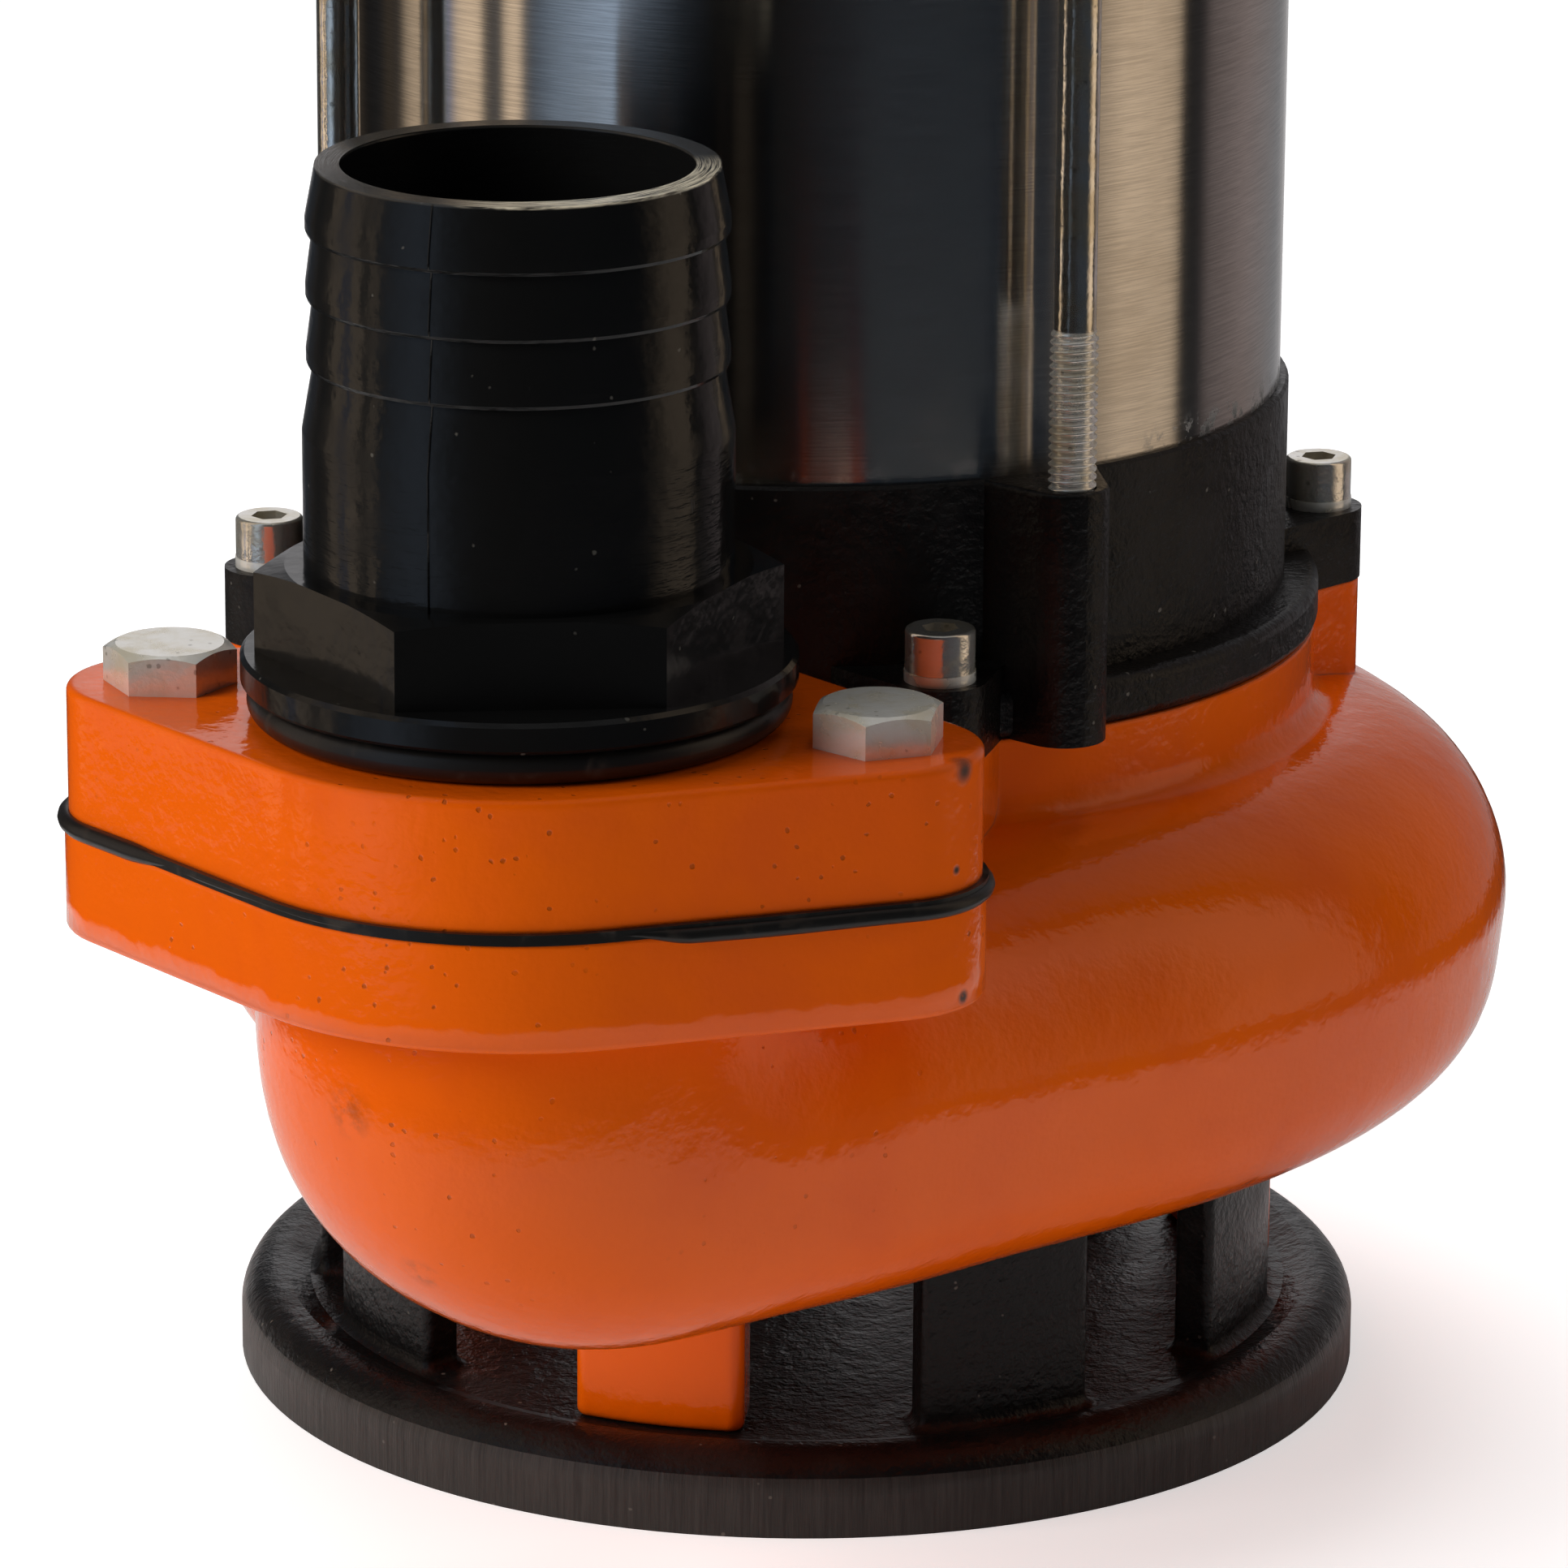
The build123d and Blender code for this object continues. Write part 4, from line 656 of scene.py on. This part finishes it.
def make_stainless_shell():
    material, graph, shader = new_material("stainless_shell")
    place = graph.place()
    x, y, z = graph.split(place)
    round_it = graph.product(from_axis(graph, x, y)[1], unrolled_radius)
    hair_place = graph.join(graph.product(round_it, 0.02), 0.0, z)
    hair = graph.noise(hair_place, 5200.0, 3.0, 0.75)
    broad = graph.noise(hair_place, 900.0, 3.0, 0.7)
    upright_place = graph.join(round_it, 0.0, graph.product(z, 0.01))
    upright = graph.effect(scratches, Place=upright_place, Scale=700.0, Level=0.70)
    nick_place = graph.join(graph.math("MULTIPLY_ADD", z, 0.9, round_it), 0.0,
                            graph.product(z, 0.12))
    nicks = graph.effect(scratches, Place=nick_place, Scale=330.0, Level=0.76)
    cloud = graph.effect(stains, Place=place, Scale=34.0, Low=0.44, High=0.72)
    tone = graph.blend(graph.band(hair, 0.34, 0.66, 0.0, 0.5), steel_bright, steel_hair)
    tone = graph.blend(graph.product(cloud, 0.25), tone, steel_clouded)
    tone = graph.blend(graph.product(upright, 0.25), tone, steel_scratched)
    # Oil and paint dust gather where the shell stands on the housing, most of all on the right.
    seam = graph.band(z, seam_z + 0.0003, seam_z + seam_dirt_height, 1.0, 0.0)
    dirt = graph.product(seam, graph.band(graph.noise(place, 330.0, 5.0, 0.75), 0.50, 0.62),
                         graph.band(x, 0.040, 0.050, 0.08, 0.9))
    tone = graph.blend(dirt, tone, seam_oil)
    height = graph.math("MULTIPLY_ADD", broad, 0.8, hair)
    normal = graph.bump(height, 0.000006, 0.7)
    rough = graph.math("MULTIPLY_ADD", cloud, 0.03, 0.165)
    rough = graph.math("MULTIPLY_ADD", dirt, 0.5, graph.math("MULTIPLY_ADD", nicks, 0.2, rough))
    metal = graph.math("MULTIPLY_ADD", dirt, -0.9, 1.0)
    tangent = graph.add("ShaderNodeTangent", direction_type="RADIAL", axis="Z").outputs[0]
    wire(graph, shader, Base_Color=tone, Roughness=rough, Normal=normal, Metallic=metal,
         Anisotropic=1.0, Anisotropic_Rotation=0.25, Tangent=tangent)
    return material


stainless_shell = make_stainless_shell()
paint(stainless_shell, "motor_shell")
print("brushed steel on the shell, seam at", round(seam_z, 4))

# %% [markdown]
# ## Plated and plain metals
# Bolts, screws and rods are zinc plated: bright, a little yellow where the passivation is thick,
# with fine dimples. Plating can be chalky or polished. The bolts are the chalkiest, the cap
# screws shine, and the rods are almost mirrors above their threads, so one recipe takes both as
# numbers. The metals inside share another recipe with their own colours: a tone, a second tone
# in slow patches, and turned or rolled lines along one axis.

# %% Zinc plate
zinc_white, zinc_yellow = linear(236, 233, 226), linear(216, 204, 174)
zinc_grime = linear(96, 88, 76)
thread_shown = 0.0196
thread_metal, thread_roughness = 0.72, 0.22


def make_zinc(name, metal, polish, thread_top=None):
    """Zinc plate: how metallic its light is, its least roughness, and the height up to which a
    thread dulls both."""
    material, graph, shader = new_material(name)
    place = graph.place()
    if thread_top is not None:
        z = graph.split(place)[2]
        polish = graph.band(z, thread_top - 0.0002, thread_top, thread_roughness, polish)
        metal = graph.band(z, thread_top - 0.0002, thread_top, thread_metal, metal)
    patch = graph.effect(stains, Place=place, Scale=170.0, Low=0.40, High=0.68)
    tone = graph.blend(graph.product(patch, 0.7), zinc_white, zinc_yellow)
    grime = graph.effect(specks, Place=place, Scale=900.0, Size=0.34, Share=0.10)
    tone = graph.blend(graph.product(grime, 0.5), tone, zinc_grime)
    skin = graph.noise(place, 1300.0, 3.0, 0.6)
    dent = graph.noise(place, 320.0, 2.0, 0.5)
    height = graph.math("MULTIPLY_ADD", dent, 3.0, skin)
    normal = graph.bump(height, 0.00005, 0.8)
    rough = graph.math("MULTIPLY_ADD", patch, 0.12, polish)
    wire(graph, shader, Base_Color=tone, Roughness=rough, Normal=normal, Metallic=metal,
         Specular_IOR_Level=0.6)
    return material


zinc_steel = make_zinc("zinc_steel", 0.50, 0.20)
zinc_screw = make_zinc("zinc_screw", 0.84, 0.13)
zinc_rod = make_zinc("zinc_rod", 0.97, 0.10, seam_z + thread_shown)
paint(zinc_screw, "housing_screws")
paint(zinc_steel, "flange_bolts", "spring_washers", "tie_rods", "rod_nuts", "rod_washers",
      "base_screws", "handle_screws", "impeller_washer", "impeller_nut", "oil_plug",
      "capacitor_clamp", "preload_spring")
print("zinc plate in three degrees of polish")

# %% Plain metals


def make_metal(name, tone, second, rough, line_scale, metallic=1.0, depth=0.00002):
    """One metal: tone and second tone in patches, with lines of that scale across the Z axis."""
    material, graph, shader = new_material(name)
    place = graph.place()
    x, y, z = graph.split(place)
    patch = graph.effect(stains, Place=place, Scale=70.0, Low=0.38, High=0.70)
    line_place = graph.join(graph.product(x, 0.04), graph.product(y, 0.04), z)
    lines = graph.noise(line_place, line_scale, 3.0, 0.7)
    colour = graph.blend(graph.product(patch, 0.6), linear(*tone), linear(*second))
    colour = graph.blend(graph.product(lines, 0.25), colour, linear(*second))
    normal = graph.bump(lines, depth, 0.7)
    roughness = graph.math("MULTIPLY_ADD", patch, 0.10, rough)
    wire(graph, shader, Base_Color=colour, Roughness=roughness, Normal=normal, Metallic=metallic)
    return material


# Each recipe: its nodes, tone, second tone, roughness and line scale.
metal_recipes = {
    "handle_steel": (("carry_handle",), (200, 198, 194), (170, 168, 164), 0.24, 2600.0),
    "machined_steel": (("pump_shaft", "impeller_key", "seal_spring", "seal_retainer"),
                       (196, 194, 190), (164, 160, 154), 0.22, 3200.0),
    "bearing_steel": (("lower_bearing_outer_race", "lower_bearing_inner_race", "lower_bearing_balls",
                       "upper_bearing_outer_race", "upper_bearing_inner_race",
                       "upper_bearing_balls"), (214, 214, 214), (186, 186, 186), 0.12, 3600.0),
    "electrical_steel": (("stator_core", "rotor_core"), (150, 152, 156), (104, 106, 112), 0.38, 2000.0),
    "copper_wire": (("stator_windings",), (196, 116, 66), (132, 66, 34), 0.34, 1000.0),
    "cast_aluminium": (("rotor_cage_rings", "bearing_bracket"), (196, 198, 200), (158, 160, 164),
                       0.42, 700.0),
    "copper_washer": (("oil_plug_washer",), (200, 122, 76), (150, 84, 48), 0.28, 1800.0),
}
for name, (nodes, *recipe) in metal_recipes.items():
    paint(make_metal(name, *recipe), *nodes)
print(len(metal_recipes), "plain metals")

# %% Cast iron and seal faces
paint(make_metal("cast_iron", (112, 108, 104), (80, 74, 70), 0.55, 420.0, metallic=0.7, depth=0.00015),
      "impeller", "seal_plate")
paint(make_metal("seal_ceramic", (226, 224, 216), (206, 202, 190), 0.30, 500.0, metallic=0.0),
      "seal_seat", "seal_head")
print("cast iron and seal faces")

# %% [markdown]
# ## Rubber
# The gasket and the O-rings are plain black rubber, a little shiny where they are squeezed, with
# chalky dust caught along them.

# %% Black rubber
rubber_black, rubber_dusty = linear(24, 23, 22), linear(78, 66, 56)


def make_rubber():
    material, graph, shader = new_material("black_rubber")
    place = graph.place()
    dust = graph.effect(stains, Place=place, Scale=240.0, Low=0.52, High=0.74)
    tone = graph.blend(graph.product(dust, 0.35), rubber_black, rubber_dusty)
    height = graph.noise(place, 1100.0, 3.0, 0.6)
    normal = graph.bump(height, 0.00004, 0.6)
    rough = graph.math("MULTIPLY_ADD", dust, 0.25, 0.36)
    wire(graph, shader, Base_Color=tone, Roughness=rough, Normal=normal, Specular_IOR_Level=0.4)
    return material


black_rubber = make_rubber()
paint(black_rubber, "discharge_gasket", "fitting_oring", "casing_oring", "shell_orings",
      "gland_grommet", "seal_seat_cup", "shaft_oil_seal")
print("rubber on seven nodes")

# %% [markdown]
# ## Threads on the tie rods
# The CAD rods are plain cylinders. Near the castings the real ones carry a rolled metric thread
# that catches the light on every crest. It could be a bump, but in profile the crests show
# against the shell, so each rod is a turned surface with a real helix.

# %% Surface helper


def grid_mesh(name, points, caps=False):
    """A mesh over a grid of points, shape (rows, columns, 3), with the columns closed in a ring."""
    rows, columns = points.shape[:2]
    row, column = np.meshgrid(np.arange(rows - 1), np.arange(columns), indexing="ij")
    after = (column + 1) % columns
    faces = np.stack([row * columns + column, row * columns + after,
                      (row + 1) * columns + after, (row + 1) * columns + column], -1).reshape(-1, 4)
    face_list = faces.tolist()
    if caps:
        face_list.append(list(range(columns - 1, -1, -1)))
        face_list.append(list(range((rows - 1) * columns, rows * columns)))
    mesh = bpy.data.meshes.new(name)
    mesh.from_pydata(points.reshape(-1, 3).tolist(), [], face_list)
    mesh.update()
    mesh.polygons.foreach_set("use_smooth", np.ones(len(mesh.polygons), dtype=bool))
    return mesh


def add_piece(name, mesh, material, body="pump_body"):
    """Put the mesh in the scene as a piece that rides on a body."""
    piece = bpy.data.objects.new(name, mesh)
    bpy.context.collection.objects.link(piece)
    mesh.materials.append(material)
    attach(piece, body)
    return piece


# %% Tie rods
rod_circle = 0.0685
rod_azimuths = (-61.8, -145.3, 118.2, 34.7)
rod_low, rod_high = (corner[2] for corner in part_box("tie_rods"))
shank_radius = 0.0026
crest_radius = 0.00293
root_radius = 0.00245
foot_slack = 0.0001
tip_bevel = 0.0006
thread_pitch = 0.001
thread_margin = 0.0004
thread_start = 0.0003
upper_thread = 0.028
flank_slope, root_width = 1.35, 0.12
rows_per_turn = 9
rod_columns = 30


def rod_points(azimuth):
    """A rod as rings up its axis. In the threads the radius swings between root and crest with
    height / pitch minus turn, as a rounded triangle wave, and fades out over one pitch."""
    lower = (seam_z - thread_margin, seam_z + thread_shown)
    upper = (rod_high - upper_thread, rod_high - thread_margin)
    step = thread_pitch / rows_per_turn
    threads = [np.arange(low, high + step, step) for low, high in (lower, upper)]
    height = np.concatenate([[rod_low, lower[0] - 0.0002], *threads, [rod_high]])
    turn = np.linspace(0, 2 * pi, rod_columns, endpoint=False)
    h, t = np.meshgrid(height, turn, indexing="ij")
    phase = (h / thread_pitch - t / (2 * pi)) % 1.0
    wave = np.clip(np.abs(phase * 2 - 1) * flank_slope - root_width, 0, 1)
    threaded = root_radius + (crest_radius - root_radius) * wave
    fade = np.zeros_like(h)
    for low, high in (lower, upper):
        edge = np.minimum((h - low) / thread_start, (high - h) / thread_pitch)
        fade = np.maximum(fade, np.clip(edge, 0, 1))
    plain = np.where(h <= lower[0], crest_radius - foot_slack, shank_radius)
    radius = plain + (threaded - plain) * fade
    radius[-1] -= tip_bevel
    x, y = (rod_circle * f(radians(azimuth)) for f in (cos, sin))
    return np.stack([x + radius * np.cos(t), y + radius * np.sin(t), h], -1)


rod_faces = 0
for number, azimuth in enumerate(rod_azimuths, 1):
    mesh = grid_mesh(f"tie_rod_{number}", rod_points(azimuth), caps=True)
    rod = add_piece(f"tie_rod_{number}", mesh, zinc_rod)
    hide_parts("tie_rods")
    rod_faces += len(mesh.polygons)
print(len(rod_azimuths), "threaded rods,", rod_faces, "faces")

# %% [markdown]
# ## Gasket lip
# Tightening the flange bolts squeezes the rubber out past the iron, more in some places than in
# others. The CAD gasket is a flat plate, so a soft lip is carried round its outline: a flattened
# round profile whose reach and height change along the way.

# %% Flange outline
discharge_reach, discharge_azimuth = 0.1051, radians(-108)
discharge_centre = discharge_reach * np.array([cos(discharge_azimuth), sin(discharge_azimuth)])
flange_turn = radians(-15.8)
flange_along = np.array([cos(flange_turn), sin(flange_turn)])
bolt_reach = 0.043
centre_radius = 0.0364
eye_radius = 0.0122
outline_directions = 1440


def flange_outline(count, grow):
    """Points and outward directions along the hull of the centre disc and the two eyes. For each
    direction the furthest of the three circles gives its point, and the loop is then divided
    evenly by length."""
    direction = np.linspace(0, 2 * pi, outline_directions, endpoint=False)
    out = np.stack([np.cos(direction), np.sin(direction)], -1)
    centres = discharge_centre + np.outer([-bolt_reach, 0, bolt_reach], flange_along)
    radii = np.array([eye_radius, centre_radius, eye_radius]) + grow
    pick = (out @ centres.T + radii).argmax(axis=1)
    points = centres[pick] + out * radii[pick][:, None]
    closed = np.vstack([points, points[:1]])
    out_closed = np.vstack([out, out[:1]])
    length = np.concatenate([[0], np.cumsum(np.linalg.norm(np.diff(closed, axis=0), axis=1))])
    at = np.linspace(0, length[-1], count, endpoint=False)
    sampled = np.stack([np.interp(at, length, closed[:, i]) for i in (0, 1)], -1)
    facing = np.stack([np.interp(at, length, out_closed[:, i]) for i in (0, 1)], -1)
    facing /= np.linalg.norm(facing, axis=1, keepdims=True)
    return sampled, facing, at


# %% Gasket lip
gasket_low, gasket_high = (corner[2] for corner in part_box("discharge_gasket"))
lip_count = 420
lip_rows = 12
lip_outset = 0.0002
lip_reach, lip_reach_at_eyes = 0.00050, 0.00070
lip_sag_right, lip_sag_left = 0.00075, 0.00025


def smooth_step(value, start, width):
    """0 up to the start and 1 past the width, with s squared times 3 - 2 s between."""
    s = np.clip((value - start) / width, 0, 1)
    return s * s * (3 - 2 * s)


def make_gasket_lip():
    """A tube along the outline: its section is a flattened round. Reach and half height grow from
    the middle of the flange towards the two eyes as a smooth step, with small waves on top. The
    first section is repeated at the end, which closes the loop."""
    points, facing, at = flange_outline(lip_count, lip_outset)
    phase = at / (at[-1] + at[1]) * 2 * pi
    side = (points - discharge_centre) @ flange_along / bolt_reach
    right, left = smooth_step(side, 0.50, 0.16), smooth_step(-side, 0.80, 0.20)
    waves = 0.00008 * np.sin(5 * phase) + 0.00005 * np.sin(13 * phase + 1.0)
    reach = lip_reach + lip_reach_at_eyes * (right + left) + waves
    lift = 0.00005 * np.sin(11 * phase) - lip_sag_right * right - lip_sag_left * left
    middle = (gasket_low + gasket_high) / 2
    swell = 0.66 + 0.95 * right + 1.15 * left + 0.06 * np.sin(7 * phase)
    half = (gasket_high - gasket_low) / 2 * swell
    turn = np.linspace(0, 2 * pi, lip_rows, endpoint=False)
    across = np.outer(reach, np.cos(turn))
    upward = np.outer(half, np.sin(turn)) + lift[:, None]
    flat = points[:, None, :] + facing[:, None, :] * across[..., None]
    loop = np.concatenate([flat, (middle + upward)[..., None]], -1)
    return np.concatenate([loop, loop[:1]])


lip_mesh = grid_mesh("gasket_lip", make_gasket_lip())
lip = add_piece("gasket_lip", lip_mesh, black_rubber)
print("gasket lip,", len(lip.data.polygons), "faces")

# %% [markdown]
# ## Parting line
# The hose fitting comes out of a two-part mould, which leaves a fine ridge down both sides where
# the halves met. The ridge follows the barbs, so it is a small rounded profile carried down the
# fitting's own outline.

# %% Parting line
tube_radius = 0.02485
barb_radius = 0.0243
barb_root = 0.0235
rim_radius = 0.02315
barb_pitch = 0.00765
tube_low = hex_top
tube_high = 0.1477
barb_low = 0.1556
barb_count = 3
barb_land = (0.0004, 0.0016)
barb_undercut = 0.0001
seam_turn = radians(-112.2)
ridge_half, ridge_proud, ridge_sunk = 0.00022, 0.00014, 0.0002


def make_parting_ridge(turn):
    """A ridge whose section is a small rounded triangle, along the outline's radius and height."""
    profile = [(tube_radius, tube_low), (tube_radius, tube_high),
               (barb_root, barb_low - barb_undercut)]
    for barb in range(barb_count):
        low = barb_low + barb * barb_pitch
        top = rim_radius if barb == barb_count - 1 else barb_root
        profile += [(barb_radius, low + barb_land[0]), (barb_radius, low + barb_land[1]),
                    (top, low + barb_pitch - barb_undercut)]
    profile = np.array(profile)
    shoulder = (ridge_half * 0.4, ridge_proud * 0.8)
    section = np.array([(-ridge_half, -ridge_sunk), (-shoulder[0], shoulder[1]), (0, ridge_proud),
                        shoulder, (ridge_half, -ridge_sunk)])
    radius = profile[:, None, 0] + section[None, :, 1]
    across = np.broadcast_to(section[None, :, 0], radius.shape)
    height = np.broadcast_to(profile[:, None, 1], radius.shape)
    out = np.array([cos(turn), sin(turn)])
    side = np.array([-sin(turn), cos(turn)])
    flat = discharge_centre + radius[..., None] * out + across[..., None] * side
    return np.concatenate([flat, height[..., None]], -1)


for number, turn in enumerate((seam_turn, seam_turn + pi), 1):
    mesh = grid_mesh(f"parting_ridge_{number}", make_parting_ridge(turn), caps=True)
    add_piece(f"parting_ridge_{number}", mesh, black_plastic)
print("two parting ridges")
